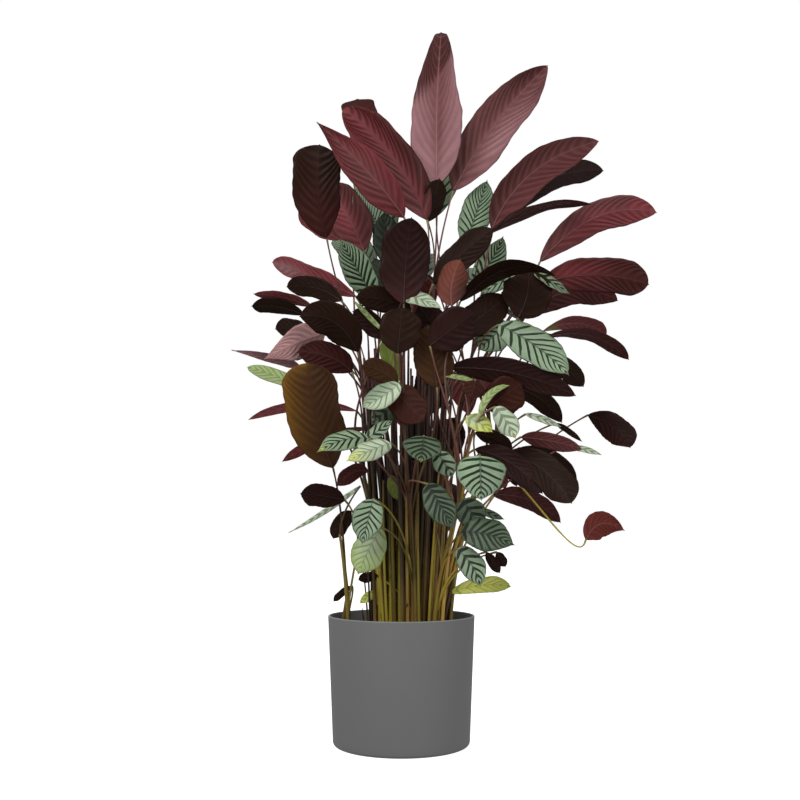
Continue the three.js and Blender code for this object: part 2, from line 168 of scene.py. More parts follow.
shoot(
    "shoot_front", (20, -48), (6, -96, 500),
    ("centre_leaf_dark", "plum", (4, -120, 728), (17, -150, 867), (-3, 10, 3), (0, 1, 0), 82, 8, 0.48),
    ("centre_leaf_pale_fold", "silver_pale", (9, -112, 745), (65, -140, 716),
     (0, 0, 2), (0, -0.8, 0.5), 34, 6, 0.2),
    ("centre_leaf_level", "umber", (16, -90, 723), (-77, -110, 742), (3, 0, 7), (0, 1, 0.4), 44, 8, 0.5),
    ("centre_leaf_hanging", "umber", (-6, -130, 643), (1, -140, 720), (0, 0, 0), (0, 1, 0), 68, 8, 0.5),
    ("centre_leaf_tall_olive", "olive", (59, -100, 592), (44, -110, 696), (0, 0, 0), (0, 1, 0), 66, 8, 0.45),
    ("inner_leaf_lime", "lime_dark", (-6, -70, 605), (-29, -75, 684), (-3, 0, 0), (0, -1, 0.1), 30),
    ("inner_leaf_olive", "olive", (-6, -110, 596), (-66, -120, 624), (0, 0, 8), (0, 1, 0.3), 36),
    ("inner_leaf_rust", "rust_dark", (-19, -112, 592), (37, -122, 533), (0, 0, 0), (0, 1, 0), 56),
    ("inner_striped_pale", "silver_pale", (-4, -125, 595), (-64, -140, 554),
     (3, 0, -2), (0, -1, 0.4), 42, 6, 0.55),
    ("inner_striped_low", "silver_dark", (-12, -90, 565), (-49, -95, 531), (0, 0, 0), (0, -1, 0.2), 40),
    ("low_striped_left", "silver", (-52, -140, 503), (-131, -180, 479), (-1, 0, 8), (0, -0.8, 0.6), 44),
    ("low_striped_left_front", "silver_pale", (-17, -150, 495), (-85, -180, 465),
     (0, 0, 1), (0, -0.8, 0.6), 42),
    ("low_striped_upright", "silver", (-58, -120, 503), (-15, -130, 533), (0, 0, 0), (0, -0.8, 0.6), 30),
    ("low_striped_round", "silver_dark", (35, -190, 503), (29, -230, 460),
     (0, 0, 0), (0, -1, 0.4), 62, 6, 0.4),
    ("low_striped_left_hanging", "silver", (-45, -150, 406), (-61, -180, 336),
     (0, 0, 0), (0, -1, 0.3), 50, 6, 0.45),
    ("low_striped_centre", "silver_dark", (41, -180, 429), (80, -200, 360),
     (0, 0, 0), (0, -1, 0.2), 46, 6, 0.5, 405),
    ("inner_leaf_lime_low", "lime_dark", (-17, -60, 447), (-7, -60, 407), (0, 0, 0), (0, -1, 0), 22, 4, 0.5),
    ("low_pale_left", "lime_pale", (-34, -120, 361), (-69, -130, 288),
     (-3, 0, -3), (0, -1, 0.2), 54, 6, 0.55),
    ("low_leaf_stub_dark", "umber", (-38, -30, 278), (-73, -30, 273), (0, 0, 3), (0, 1, 0.3), 18, 4, 0.5),
    ("low_leaf_stub_yellow", "lime", (-43, -20, 254), (-70, -30, 235), (0, 0, 0), (0, -1, 0.3), 16, 4, 0.5),
)
shoot(
    "shoot_right", (74, -18), (148, -46, 470),
    ("right_leaf_arch", "umber", (100, -70, 743), (250, -160, 765), (3, 0, 36), (0, 0.25, 1), 55),
    ("right_striped_big", "silver", (162, -110, 695), (262, -185, 601), (6, 0, 4), (0, -1, 0.2), 62),
    ("right_striped_round", "silver", (182, -64, 708), (130, -70, 660), (0, 0, 0), (0, -1, 0.2), 56),
    ("right_leaf_far_low", "wine_dark", (243, -60, 682), (406, 20, 657), (4, 0, 25), (0, 0.6, 1), 30, 6, 0.6),
    ("right_leaf_far_high", "wine", (245, -40, 698), (376, 60, 710), (2, 0, 18), (0, 0.8, 0.8), 32, 6, 0.6),
    ("right_leaf_behind_stripes", "umber", (236, -60, 653), (317, -20, 603), (5, 0, 5), (0, 1, 0.2), 36),
    ("right_leaf_long_dark", "plum", (81, -95, 625), (275, -180, 567),
     (3, 0, 14), (0, 0.9, 0.5), 46, 8, 0.45),
    ("right_leaf_dark_a", "umber", (161, -70, 605), (261, -20, 587), (3, 0, 11), (0, 1, 0.4), 36),
    ("right_leaf_dark_b", "umber", (165, -80, 600), (275, -40, 538), (7, 0, 14), (0, 1, 0.4), 34),
    ("right_leaf_alone", "plum", (319, -40, 552), (374, -110, 490), (9, 0, 6), (0, 1, 0.2), 46, 6, 0.6),
    ("right_leaf_pale_thin", "silver_pale", (204, -110, 546), (263, -100, 526),
     (0, 0, 2), (0, -0.9, 0.4), 14, 4, 0.5),
    ("right_leaf_thin_tip", "umber", (258, -80, 534), (301, -80, 503), (0, 0, 2), (0, 1, 0.4), 10, 4, 0.4),
    ("right_leaf_two_sided", "wine_brown", (198, -90, 510), (290, -140, 486),
     (1, 0, 3), (0, 1, 0.4), 28, 6, 0.4),
    ("right_leaf_two_sided_tip", "silver_pale", (266, -120, 493), (318, -155, 476),
     (0, 0, 2), (0, -1, 0.4), 12, 4, 0.5),
    ("right_leaf_low_inner", "umber", (122, -90, 517), (186, -80, 489), (0, 0, 5), (0, 1, 0.4), 26),
    ("low_leaf_right_c", "umber", (197, -80, 493), (294, -60, 429), (12, 0, 15), (0, 1, 0.6), 22),
    ("low_leaf_right_d", "wine", (161, -60, 467), (174, -60, 425), (0, 0, 0), (0, 1, 0), 22, 6, 0.4),
    ("low_leaf_right_e", "umber", (167, -50, 469), (195, -50, 429), (3, 0, 3), (0, 1, 0), 16),
    ("low_leaf_right_red", "wine_dark", (153, -60, 415), (279, 20, 369), (2, 0, 16), (0, 1, 0.3), 34, 8, 0.5),
    ("low_leaf_grey_thin", "silver_dark", (128, -60, 392), (171, -60, 375),
     (0, 0, 0), (0, -1, 0.3), 14, 4, 0.5),
    ("right_leaf_heart", "wine_rust", (318, 0, 340), (399, 60, 355),
     (-7, 0, 20), (-0.25, 1, 0), 46, 6, 0.42, 452),
    ("low_leaf_yellow", "lime", (84, -42, 254), (179, -80, 265), (4, 0, 7), (0, -0.9, 0.5), 30, 6, 0.65),
)
shoot(
    "shoot_front_right", (56, -46), (90, -96, 380),
    ("centre_leaf_rust", "rust", (84, -110, 727), (100, -100, 810), (-7, 0, 0), (0.2, 1, 0), 50, 8, 0.45),
    ("centre_leaf_low_dark", "plum", (47, -120, 658), (118, -150, 708), (0, 0, 0), (0, 1, 0), 66, 8, 0.5),
    ("centre_leaf_low_umber", "umber", (95, -90, 683), (183, -60, 755), (0, 0, 0), (0, 1, 0), 58, 8, 0.5),
    ("inner_leaf_dark_a", "umber", (42, 58, 560), (60, 50, 650), (0, 0, 0), (0, 1, 0), 60),
    ("inner_leaf_dark_b", "umber", (72, 62, 470), (98, 58, 560), (0, 0, 0), (0, 1, 0), 56),
    ("inner_leaf_dark_c", "olive_dark", (20, 52, 480), (30, 48, 570), (0, 0, 0), (0, 1, 0), 50),
    ("centre_leaf_small_dark", "plum", (76, -60, 675), (28, -70, 737), (0, 0, 0), (0, 1, 0), 56, 8, 0.5),
    ("right_leaf_brown", "rust_dark", (139, -110, 556), (195, -140, 593), (0, 0, 0), (0, 1, 0), 62),
    ("right_leaf_green_curl", "lime_pale", (127, -135, 539), (182, -130, 593),
     (-10, 0, 10), (0, -0.8, 0.5), 14, 4, 0.5),
    ("right_striped_small", "silver_pale", (150, -150, 553), (180, -165, 502),
     (2, 0, 1), (0, -1, 0.3), 36, 6, 0.6),
    ("right_striped_lime", "lime", (105, -125, 538), (146, -140, 514), (0, 0, 3), (0, -0.8, 0.5), 34),
    ("right_leaf_thin_green", "lime_pale", (72, -100, 611), (124, -100, 601),
     (0, 0, 2), (0, -1, 0.5), 10, 4, 0.5),
    ("right_leaf_stub_brown", "rust_dark", (122, -120, 601), (114, -120, 571), (0, 0, 0), (0, 1, 0), 36),
    ("low_leaf_right_a", "plum", (121, -100, 489), (224, -150, 414), (8, 0, 11), (0, 1, 0.2), 42),
    ("low_leaf_right_b", "umber", (177, -112, 485), (264, -185, 398), (8, 0, 8), (0, 1, 0.2), 54, 8, 0.6),
    ("low_striped_heart", "silver", (122, -190, 472), (120, -230, 403), (0, 0, -1), (0, -1, 0.3), 78, 6, 0.3),
    ("low_striped_small", "silver", (56, -170, 480), (80, -185, 440), (0, 0, 0), (0, -1, 0.3), 36),
    ("low_striped_behind", "silver_dark", (98, -120, 406), (129, -130, 361), (0, 0, 0), (0, -1, 0.1), 48),
    ("low_striped_right", "silver_dark", (93, -170, 355), (173, -190, 335), (0, 0, 6), (0, -0.9, 0.4), 56),
    ("low_striped_hanging", "silver", (87, -150, 328), (122, -170, 272),
     (5, 0, 4), (-0.1, -1, 0.2), 40, 6, 0.55),
    ("low_tip_dark_a", "umber", (134, -140, 323), (156, -140, 290), (0, 0, 0), (0, 1, 0), 16),
    ("low_tip_dark_b", "umber", (151, -140, 323), (165, -140, 300), (0, 0, 0), (0, 1, 0), 16),
)
shoot(
    "shoot_back_left", (0, 42), (-36, 100, 600),
    ("back_leaf_top_left", "wine", (-20, 60, 890), (-75, 160, 1070), (0, 25, 10), (0, -1, 0.5), 70, 8, 0.5),
    ("back_leaf_upper_left", "wine", (-60, 80, 810), (-120, 230, 950), (0, 20, 20), (0, -1, 0.8), 74, 8, 0.5),
    ("back_leaf_upper_mid", "plum", (25, 95, 800), (30, 260, 920), (0, 20, 25), (0, -1, 0.9), 84, 8, 0.5),
    ("back_leaf_left", "wine", (-80, 80, 710), (-175, 235, 770), (0, 10, 25), (0, -0.6, 1), 72, 8, 0.5),
    ("back_leaf_low_mid", "wine", (20, 125, 580), (10, 320, 560), (0, 10, 30), (0, -0.2, 1), 70, 8, 0.5),
    ("back_striped_left", "silver", (-40, 130, 660), (-50, 210, 590), (0, 15, 15), (0, 1, 0.3), 64, 6, 0.45),
    ("back_striped_low", "silver_dark", (40, 150, 500), (50, 235, 410),
     (0, 15, 15), (0, 1, 0.3), 66, 6, 0.45),
    ("back_leaf_hanging_left", "plum", (0, 110, 430), (-35, 235, 370), (0, 10, 20), (0, -0.2, 1), 50, 8, 0.5),
    ("back_leaf_small_low", "lime", (25, 85, 330), (15, 165, 300), (0, 5, 12), (0, 0.6, 1), 36),
    ("back_leaf_side_left", "wine", (-95, 60, 650), (-215, 130, 690), (0, 5, 20), (0, -0.3, 1), 60, 8, 0.5),
)
shoot(
    "shoot_back_right", (48, 44), (88, 98, 640),
    ("back_leaf_top", "wine", (65, 50, 930), (85, 140, 1160), (0, 25, 10), (0, -1, 0.5), 80, 8, 0.5),
    ("back_leaf_upper_right", "wine", (110, 80, 800), (205, 220, 850), (0, 20, 25), (0, -1, 0.9), 70, 8, 0.5),
    ("back_leaf_mid", "umber", (40, 115, 690), (60, 300, 750), (0, 10, 30), (0, -0.5, 1), 82, 8, 0.5),
    ("back_leaf_right", "plum", (130, 90, 740), (245, 240, 770), (0, 10, 30), (0, -0.5, 1), 70, 8, 0.5),
    ("back_leaf_low_right", "wine", (110, 110, 640), (190, 290, 610), (0, 10, 25), (0, -0.2, 1), 64, 8, 0.5),
    ("back_striped_high", "silver", (40, 120, 840), (35, 200, 760), (0, 15, 15), (0, 1, 0.3), 72, 6, 0.45),
    ("back_striped_right", "silver", (110, 140, 660), (135, 225, 580), (0, 15, 15), (0, 1, 0.3), 64, 6, 0.45),
    ("back_leaf_hanging_right", "plum", (70, 110, 440), (100, 235, 390),
     (0, 10, 20), (0, -0.2, 1), 50, 8, 0.5),
    ("back_leaf_small_right", "olive", (65, 80, 370), (85, 160, 350), (0, 5, 12), (0, -0.2, 1), 34),
    ("back_leaf_side_right", "wine", (165, 60, 680), (300, 140, 720), (0, 5, 20), (0, -0.3, 1), 60, 8, 0.5),
)


def linear(*levels):
    """The scene-linear colour of red, green and blue levels from 0 to 255."""
    shares = [level / 255 for level in levels]
    return tuple(s / 12.92 if s <= 0.04045 else ((s + 0.055) / 1.055) ** 2.4 for s in shares)


def number(name, description, default, **more):
    """A number, for the sidebar, with more of a property's settings where it has them."""
    return FloatProperty(name=name, description=description, default=default, **more)


def length(name, description, default):
    """A size in metres, for the sidebar."""
    return number(name, description, default, min=0, unit="LENGTH")


def share(name, description, default):
    """A number from 0 up, for the sidebar."""
    return number(name, description, default, min=0)


def power(name, description, default):
    """A lamp's power, for the sidebar."""
    return number(name, description, default, unit="POWER")


def colour(name, description, *levels):
    """A colour, for the sidebar."""
    return FloatVectorProperty(
        name=name, description=description, default=linear(*levels), min=0, max=1, subtype="COLOR"
    )


class PotSettings(bpy.types.PropertyGroup):
    """Sizes and colour of the pot"""

    rim_radius: length("Rim radius", "Outer radius at the rim", 0.125)
    base_radius: length("Base radius", "Outer radius where the pot stands", 0.115)
    height: length("Height", "From the floor to the rim", 0.213)
    wall: length("Wall", "Thickness of the wall", 0.004)
    bottom: length("Bottom", "Thickness of the bottom", 0.007)
    foot_rounding: length("Foot rounding", "Radius of the edge that the pot stands on", 0.006)
    lip_rounding: length("Lip rounding", "Radius of the two edges of the rim", 0.0014)
    sides: IntProperty(name="Sides", description="Faces round the pot", default=144, min=12)
    grey: colour("Grey", "Colour of the pot", 116, 116, 116)
    # Painted highlight: a lighter grey on the rim's edge, for the light that catches it
    rim_highlight_grey: colour("Rim grey", "Colour of the rim's edge", 150, 150, 150)


class SoilSettings(bpy.types.PropertyGroup):
    """Shape and colour of the potting mix"""

    edge_height: length("Edge height", "Height of the soil at the pot's wall", 0.182)
    crown_height: length("Crown height", "Height of the soil at its middle", 0.193)
    crumb: length("Crumb", "Radius of the largest crumbs of peat", 0.0045)
    crumbs: IntProperty(name="Crumbs", description="How many crumbs lie on top", default=420, min=0)
    peat: colour("Peat", "Colour of the moist peat", 34, 27, 22)
    fibre: colour("Fibre", "Colour of the dry fibres in it", 84, 66, 48)


class StemSettings(bpy.types.PropertyGroup):
    """Sizes and colours of the canes and the leaf stalks"""

    cane_foot: length("Cane at the soil", "Radius of a cane at the soil", 0.005)
    cane_top: length("Cane at the top", "Radius of a cane at its top", 0.0022)
    stalk_foot: length("Stalk at its foot", "Radius of a leaf stalk where it starts", 0.0023)
    stalk_top: length("Stalk at the blade", "Radius of a leaf stalk below the blade", 0.00125)
    knee: length("Knee", "Radius of the swelling between stalk and blade", 0.0019)
    rooted: length("Rooted depth", "How far a cane goes down into the soil", 0.025)
    straw: colour("Straw", "Colour near the soil", 202, 160, 78)
    moss: colour("Moss", "Greener colour near the soil", 176, 168, 40)
    rust: colour("Rust", "Colour half way up", 100, 58, 42)
    blush: colour("Blush", "Colour near the leaves", 122, 76, 70)
    knee_green: colour("Knee green", "Colour of the swelling below a blade", 132, 128, 78)
    # Bark: the colour of old stalks, and also of the painted shade in the thick of the clump
    bark_and_shade: colour("Bark", "Colour of old, dark stalks", 44, 26, 20)
    husk: colour("Husk", "Colour of the dry sheaths at the soil", 58, 40, 26)


class LeafSettings(bpy.types.PropertyGroup):
    """Shape of the blades"""

    thickness: length("Thickness", "Thickness of a blade", 0.0005)
    rib: length("Rib", "Radius of the midrib at the foot of the widest leaves", 0.0013)
    narrowest: length("Narrowest", "Half width of a blade at its foot and of its point", 0.0008)
    point: length("Point", "Length of the short point at the tip", 0.0022)
    blunt: share("Bluntness", "How blunt the tips are: 0 is pointed, 1 and more are cut off", 0.55)
    pleat: share("Pleat", "Depth of the pleats as a share of the blade's width", 0.014)
    ripple: share("Ripple", "Height of the waves in the margin as a share of the width", 0.024)
    sweep: share("Sweep", "How far the side veins lean to the tip, as a share of width over length", 1.15)
    most_sweep: share("Most sweep", "The most that the side veins lean", 0.36)
    curl: share("Curl", "How far the margins bend back, as a share of the half width", 0.1)


class LeafTones(bpy.types.PropertyGroup):
    """Colours of the two sides of the leaves. Several are lit and shaded copies of one colour: the shade
    tones say so, mauve and rose hold a painted sheen, and plum and umber painted shade.
    """

    # Painted sheen: mauve, pale mauve and rose are the wine underside made paler and pinker by a painted
    # sheen
    mauve: colour("Mauve", "Pale underside", 150, 108, 112)
    mauve_pale: colour("Pale mauve", "Palest underside", 196, 150, 150)
    rose: colour("Rose", "Pinkish underside", 108, 64, 64)
    wine: colour("Wine", "Usual underside", 114, 50, 53)
    wine_brown: colour("Brown wine", "Duller underside", 94, 50, 50)
    wine_dark: colour("Dark wine", "Underside in the shade", 68, 31, 29)
    wine_red: colour("Red wine", "Reddest underside", 138, 66, 70)
    wine_rust: colour("Rusty wine", "Underside with a rusty tinge", 108, 44, 36)
    # Painted shade: plum and umber are the underside's own dark red, painted darker for the shade deep in the
    # clump
    plum: colour("Plum", "Dark underside", 40, 18, 15)
    umber: colour("Umber", "Darkest underside", 37, 18, 8)
    rust: colour("Rust", "Rusty underside", 106, 56, 44)
    rust_dark: colour("Dark rust", "Rusty underside in the shade", 58, 26, 17)
    olive: colour("Olive", "Underside of an old leaf", 62, 38, 18)
    olive_dark: colour("Dark olive", "Underside of an old leaf in the shade", 44, 28, 14)
    amber: colour("Amber", "Yellowing edge of an old leaf", 128, 90, 28)
    silver: colour("Silver", "Pale bands of the upper side", 150, 174, 140)
    silver_pale: colour("Pale silver", "Palest upper side", 196, 212, 180)
    silver_dark: colour("Dark silver", "Pale bands in the shade", 96, 114, 88)
    silver_deep: colour("Deep silver", "Pale bands in deep shade", 44, 56, 40)
    lime: colour("Lime", "Upper side of a yellowing leaf", 226, 232, 116)
    lime_pale: colour("Pale lime", "Upper side of a young leaf", 172, 190, 128)
    lime_dark: colour("Dark lime", "Upper side of a young leaf in the shade", 124, 134, 56)
    band: colour("Band", "Dark bands of the upper side", 27, 39, 24)
    young_band: colour("Young band", "Bands of a young or yellowing leaf", 104, 124, 50)


class StageSettings(bpy.types.PropertyGroup):
    """Floor, lights and camera"""

    floor_size: length("Floor size", "Side of the floor", 80.0)
    camera_height: length("Camera height", "Height of the camera", 0.368)
    camera_distance: length("Camera distance", "From the camera to the pot's axis", 1.75)
    camera_aside: number("Camera aside", "How far to the right of the pot it stands", -0.0023, unit="LENGTH")
    camera_tilt: number("Camera tilt", "How far the camera looks up", math.radians(7), subtype="ANGLE")
    lens: share("Lens", "Focal length in millimetres", 45.24)
    sensor: share("Sensor", "Sensor width in millimetres", 36)
    key: power("Key light", "Power of the main light", 66)
    fill: power("Fill light", "Power of the side light", 21)
    back: power("Back light", "Power of the light behind", 16)
    sky: share("Sky", "Strength of the light from all round", 0.4)
    backdrop: length("Backdrop", "Radius of the white dome behind everything", 38.0)
    glow: share("Glow", "How brightly the floor shines of itself", 0.85)
    paper: colour("Paper", "Colour of the floor", 250, 250, 250)


# Tones of leaves whose upper side faces the front, and how dark their bands are
BAND_SHARE = {
    "silver": 1.0,
    "silver_pale": 0.62,
    "silver_dark": 1.0,
    "silver_deep": 1.0,
    "lime": 0.55,
    "lime_pale": 0.6,
    "lime_dark": 0.8,
}

# How blunt the tips of some leaves are: 0 is drawn to a point, and 1 and more are cut off
BLUNTNESS = {
    "top_leaf_centre": 1.5,
    "top_leaf_right": 0.5,
    "top_leaf_left_high": 0.8,
    "top_leaf_left_low": 0.1,
    "top_leaf_left_back": 1.5,
    "upper_leaf_left_dark": 0.8,
    "left_leaf_red_high": 0.8,
    "left_leaf_brown_high": 0.8,
    "left_leaf_pale": 0.9,
    "left_leaf_olive_big": 0.95,
    "left_leaf_mauve": 0.2,
    "left_leaf_dark_broad": 0.5,
    "left_leaf_curled": 0.0,
    "right_leaf_broad": 0.8,
    "right_leaf_alone": 0.4,
    "right_leaf_heart": 0.1,
    "right_striped_big": 0.6,
    "low_striped_heart": 0.6,
    "low_striped_round": 0.3,
    "low_striped_right": 0.3,
    "low_striped_centre": 0.2,
    "low_striped_left_hanging": 0.2,
    "low_striped_left": 0.2,
    "low_striped_left_front": 0.2,
    "low_pale_left": 0.3,
    "low_leaf_yellow": 0.7,
    "low_leaf_thin_left": 0.0,
}

# Leaves that narrow to a neck: where along them the narrowing starts, and what it leaves of the width
NECKS = {
    "top_leaf_centre": (0.5, 0.4),
    "top_leaf_left_low": (0.6, 0.6),
    "left_leaf_mauve": (0.45, 0.6),
}

# Leaves whose end bends away, with a painted tone beyond the bend, painted shade on most and a lighter
# painted red on one: its tone, and where the bend crosses the left and right margins
BENT_ENDS = {
    "top_leaf_centre": ("wine_dark", 0.56, 0.88),
    "right_leaf_broad": ("wine_dark", 0.8, 0.92),
    "upper_leaf_right_long": ("wine_red", 0.8, 0.72),
}
# How wide the bend is along a leaf, as a share of its length, and how strong the tone is beyond it
CREASE_WIDTH = 0.03
BENT_STRENGTH = 0.9

# How deep the pleats are on leaves of some tones, and on some leaves, as a multiple of the usual
PLEATS = {
    "umber": 0.4,
    "plum": 0.6,
    "olive": 0.6,
    "olive_dark": 0.5,
    "rust": 0.5,
    "rust_dark": 0.4,
    "top_leaf_left_high": 2.4,
    "top_leaf_left_low": 1.2,
    "top_leaf_centre": 0.7,
    "top_leaf_right": 1.3,
    "upper_leaf_left_dark": 1.0,
    "upper_leaf_left_red": 1.6,
    "upper_leaf_right_high": 1.4,
    "left_leaf_dark_broad": 0.4,
    "left_leaf_mauve": 0.8,
    "left_leaf_olive_big": 0.7,
}

# How far the side veins of some leaves lean to the tip, as a share of the leaf's length
SWEEPS = {
    "top_leaf_left_high": 0.48,
    "top_leaf_left_low": 0.36,
    "top_leaf_centre": 0.42,
    "top_leaf_right": 0.38,
    "left_leaf_mauve": 0.4,
}

# Side veins of some leaves, as a multiple of the usual count, and how much of each band is dark
BANDING = {
    "striped_leaf_left": (1.5, 0.5),
    "striped_leaf_top_left": (1.9, 0.36),
    "striped_leaf_top_right": (1.35, 0.4),
    "striped_leaf_right_back": (1.2, 0.5),
    "right_striped_big": (1.05, 0.36),
    "right_striped_round": (1.2, 0.4),
    "low_striped_heart": (1.3, 0.42),
    "low_striped_round": (1.3, 0.5),
    "low_striped_left_hanging": (1.5, 0.4),
    "low_striped_centre": (1.4, 0.6),
    "low_striped_right": (1.3, 0.5),
    "low_striped_left": (1.2, 0.4),
    "low_striped_left_front": (1.2, 0.3),
    "low_pale_left": (1.2, 0.3),
    "low_leaf_yellow": (0.9, 0.2),
    "low_striped_hanging": (1.1, 0.45),
    "inner_striped_pale": (1.2, 0.3),
}

# Leaves whose midrib is reddish and close to the tone of the blade
DARK_RIBS = ("top_leaf_left_high", "upper_leaf_left_dark", "left_leaf_olive_big")

# Soft patches: a tone, its place across the blade, from -1 to 1, and along it, and its reach both ways.
# Patches of the underside's tones are painted sheen and painted shade; amber, lime and lime_dark are the
# leaf's own yellowing and greening, and silver and silver_pale pale the bands.
WASHES = {
    "top_leaf_centre": [("rose", 0.0, 0.75, 0.7, 0.35), ("rose", -0.05, 0.4, 0.22, 0.3)],
    "top_leaf_right": [("wine_dark", 0.6, 0.95, 1.0, 0.25), ("mauve", -0.6, 0.45, 0.5, 0.3)],
    "top_leaf_left_high": [("wine_dark", -0.9, 0.35, 0.5, 0.6), ("rose", 0.5, 0.3, 0.5, 0.4)],
    "top_leaf_left_low": [("wine_dark", 0.0, 1.0, 1.5, 0.2), ("rose", 0.2, 0.5, 0.6, 0.3)],
    "top_leaf_left_back": [("wine_dark", 0.0, 0.8, 1.5, 0.4)],
    "upper_leaf_left_dark": [("wine_dark", 0.0, 0.1, 1.2, 0.45)],
    "upper_leaf_left_red": [("wine_red", 0.2, 0.4, 0.6, 0.4)],
    "left_leaf_red_high": [("mauve", 0.2, 0.85, 0.6, 0.2)],
    "left_leaf_olive_big": [("amber", 1.5, 0.7, 0.8, 0.45), ("amber", 0.5, 1.1, 0.6, 0.14)],
    "centre_leaf_rust": [("rust_dark", -0.9, 0.3, 0.6, 0.6)],
    "centre_leaf_dark": [("wine_dark", 0.0, -0.1, 1.2, 0.25)],
    "right_leaf_far_high": [("lime_dark", -0.4, 0.08, 1.2, 0.12)],
    "right_leaf_broad": [("wine", 0.2, 0.3, 0.8, 0.3)],
    "upper_leaf_right_high": [("wine_dark", 0.8, 0.3, 0.7, 0.5)],
    "upper_leaf_right_long": [("wine_red", -0.3, 0.5, 0.7, 0.4)],
    "low_striped_left": [("lime", 0.2, 1.0, 1.2, 0.12)],
    "low_striped_left_front": [("lime", 0.0, 1.0, 1.5, 0.3)],
    "low_striped_round": [("lime", 0.0, 1.0, 0.6, 0.08)],
    "low_pale_left": [("silver_pale", 0.0, 0.3, 0.7, 0.3)],
    "right_striped_small": [("lime", 0.0, 1.0, 0.8, 0.1)],
    "right_striped_lime": [("silver_pale", 0.0, 0.3, 0.8, 0.3)],
    "inner_striped_pale": [("silver", 0.6, 0.5, 0.5, 0.5)],
}
# The record's material slot for the leaves of each tone
TONES_OF_SLOT = {
    "leaf_wine": ("mauve", "mauve_pale", "rose", "wine", "wine_brown", "wine_dark", "wine_red", "wine_rust"),
    "leaf_plum": ("plum", "umber", "rust", "rust_dark"),
    "leaf_olive": ("olive", "olive_dark"),
    "leaf_striped": ("silver", "silver_pale", "silver_dark", "silver_deep"),
    "leaf_lime": ("lime", "lime_pale", "lime_dark"),
}
SLOT_OF_TONE = {tone: slot for slot, tones in TONES_OF_SLOT.items() for tone in tones}
YOUNG_TONES = TONES_OF_SLOT["leaf_lime"]


class Wire:
    """A socket in a material's node tree. A sum on wires adds the Math nodes that work it out."""

    def __init__(self, tree, socket=None):
        self.tree = tree
        self.socket = socket

    def node(self, kind, settings=None, sockets=None, output=0):
        """Adds a node, sets it up, feeds its sockets with wires or values, and returns one output."""
        made = self.tree.nodes.new(kind)
        for name, value in (settings or {}).items():
            setattr(made, name, value)
        for key, value in (sockets or {}).items():
            socket = self.find(made.inputs, key)
            if isinstance(value, Wire):
                self.tree.links.new(value.socket, socket)
            else:
                socket.default_value = value
        return Wire(self.tree, self.find(made.outputs, output))

    @staticmethod
    def find(sockets, key):
        """The socket with this place in the list, identifier or name."""
        if isinstance(key, int):
            return sockets[key]
        return next(s for s in sockets if key in (s.identifier, s.name))

    def maths(self, operation, *terms):
        """A Math node on these terms."""
        return self.node("ShaderNodeMath", {"operation": operation}, dict(enumerate(terms)))

    def __add__(self, other):
        return self.maths("ADD", self, other)

    def __radd__(self, other):
        return self.maths("ADD", other, self)

    def __sub__(self, other):
        return self.maths("SUBTRACT", self, other)

    def __rsub__(self, other):
        return self.maths("SUBTRACT", other, self)

    def __mul__(self, other):
        return self.maths("MULTIPLY", self, other)

    def __pow__(self, other):
        return self.maths("POWER", self, other)

    def __abs__(self):
        return self.maths("ABSOLUTE", self)

    def highest(self, other):
        """The higher of two values."""
        return self.maths("MAXIMUM", self, other)

    def fraction(self):
        """What is left over whole numbers."""
        return self.maths("FRACT", self)

    def rise(self, low, high):
        """Climbs smoothly from 0 to 1 as the wire goes from low to high."""
        limits = {"Value": self, "From Min": low, "From Max": high}
        return self.node("ShaderNodeMapRange", {"interpolation_type": "SMOOTHSTEP"}, limits)

    def mix(self, factor, first, second):
        """A colour between two others."""
        colours = {"Factor_Float": factor, "A_Color": rgba(first), "B_Color": rgba(second)}
        return self.node("ShaderNodeMix", {"data_type": "RGBA"}, colours, "Result_Color")

    def scaled(self, factor):
        """A colour or vector made brighter or darker, longer or shorter."""
        return self.node("ShaderNodeVectorMath", {"operation": "SCALE"}, {"Vector": self, "Scale": factor})

    def noise(self, place, scale, detail=2.0, roughness=0.5):
        """Soft noise from 0 to 1 at a place."""
        sizes = {"Vector": place, "Scale": scale, "Detail": detail, "Roughness": roughness}
        return self.node("ShaderNodeTexNoise", {}, sizes, "Fac")

    def attribute(self, name, output="Fac"):
        """A value or colour that the mesh carries."""
        return self.node("ShaderNodeAttribute", {"attribute_name": name}, {}, output)

    def coordinates(self, kind):
        """Object coordinates, or the mesh's own UV map."""
        return self.node("ShaderNodeTexCoord", {}, {}, kind)

    def parts(self):
        """The three parts of a vector."""
        return [self.node("ShaderNodeSeparateXYZ", {}, {"Vector": self}, axis) for axis in "XYZ"]

    def vector(self, x, y, z):
        """Three values as one vector."""
        return self.node("ShaderNodeCombineXYZ", {}, {"X": x, "Y": y, "Z": z})

    def bump(self, height, distance, strength):
        """A normal that is tipped by a height."""
        sizes = {"Height": height, "Distance": distance, "Strength": strength}
        return self.node("ShaderNodeBump", {}, sizes, "Normal")


def rgba(value):
    """A plain colour with its alpha, and a wire as it is."""
    return value if isinstance(value, Wire) else (*value, 1)


def new_finish(name, specular=0.5):
    """A material, the start of its wiring and its shader."""
    material = bpy.data.materials.new(name)
    material.use_nodes = True
    shader = material.node_tree.nodes["Principled BSDF"]
    shader.inputs["Specular IOR Level"].default_value = specular
    return material, Wire(material.node_tree), shader


def feed(shader, colour, roughness, normal):
    """Gives the shader its colour, roughness and normal, each a wire or a plain value."""
    for name, value in (("Base Color", colour), ("Roughness", roughness), ("Normal", normal)):
        if isinstance(value, Wire):
            value.tree.links.new(value.socket, shader.inputs[name])
        elif value is not None:
            shader.inputs[name].default_value = value


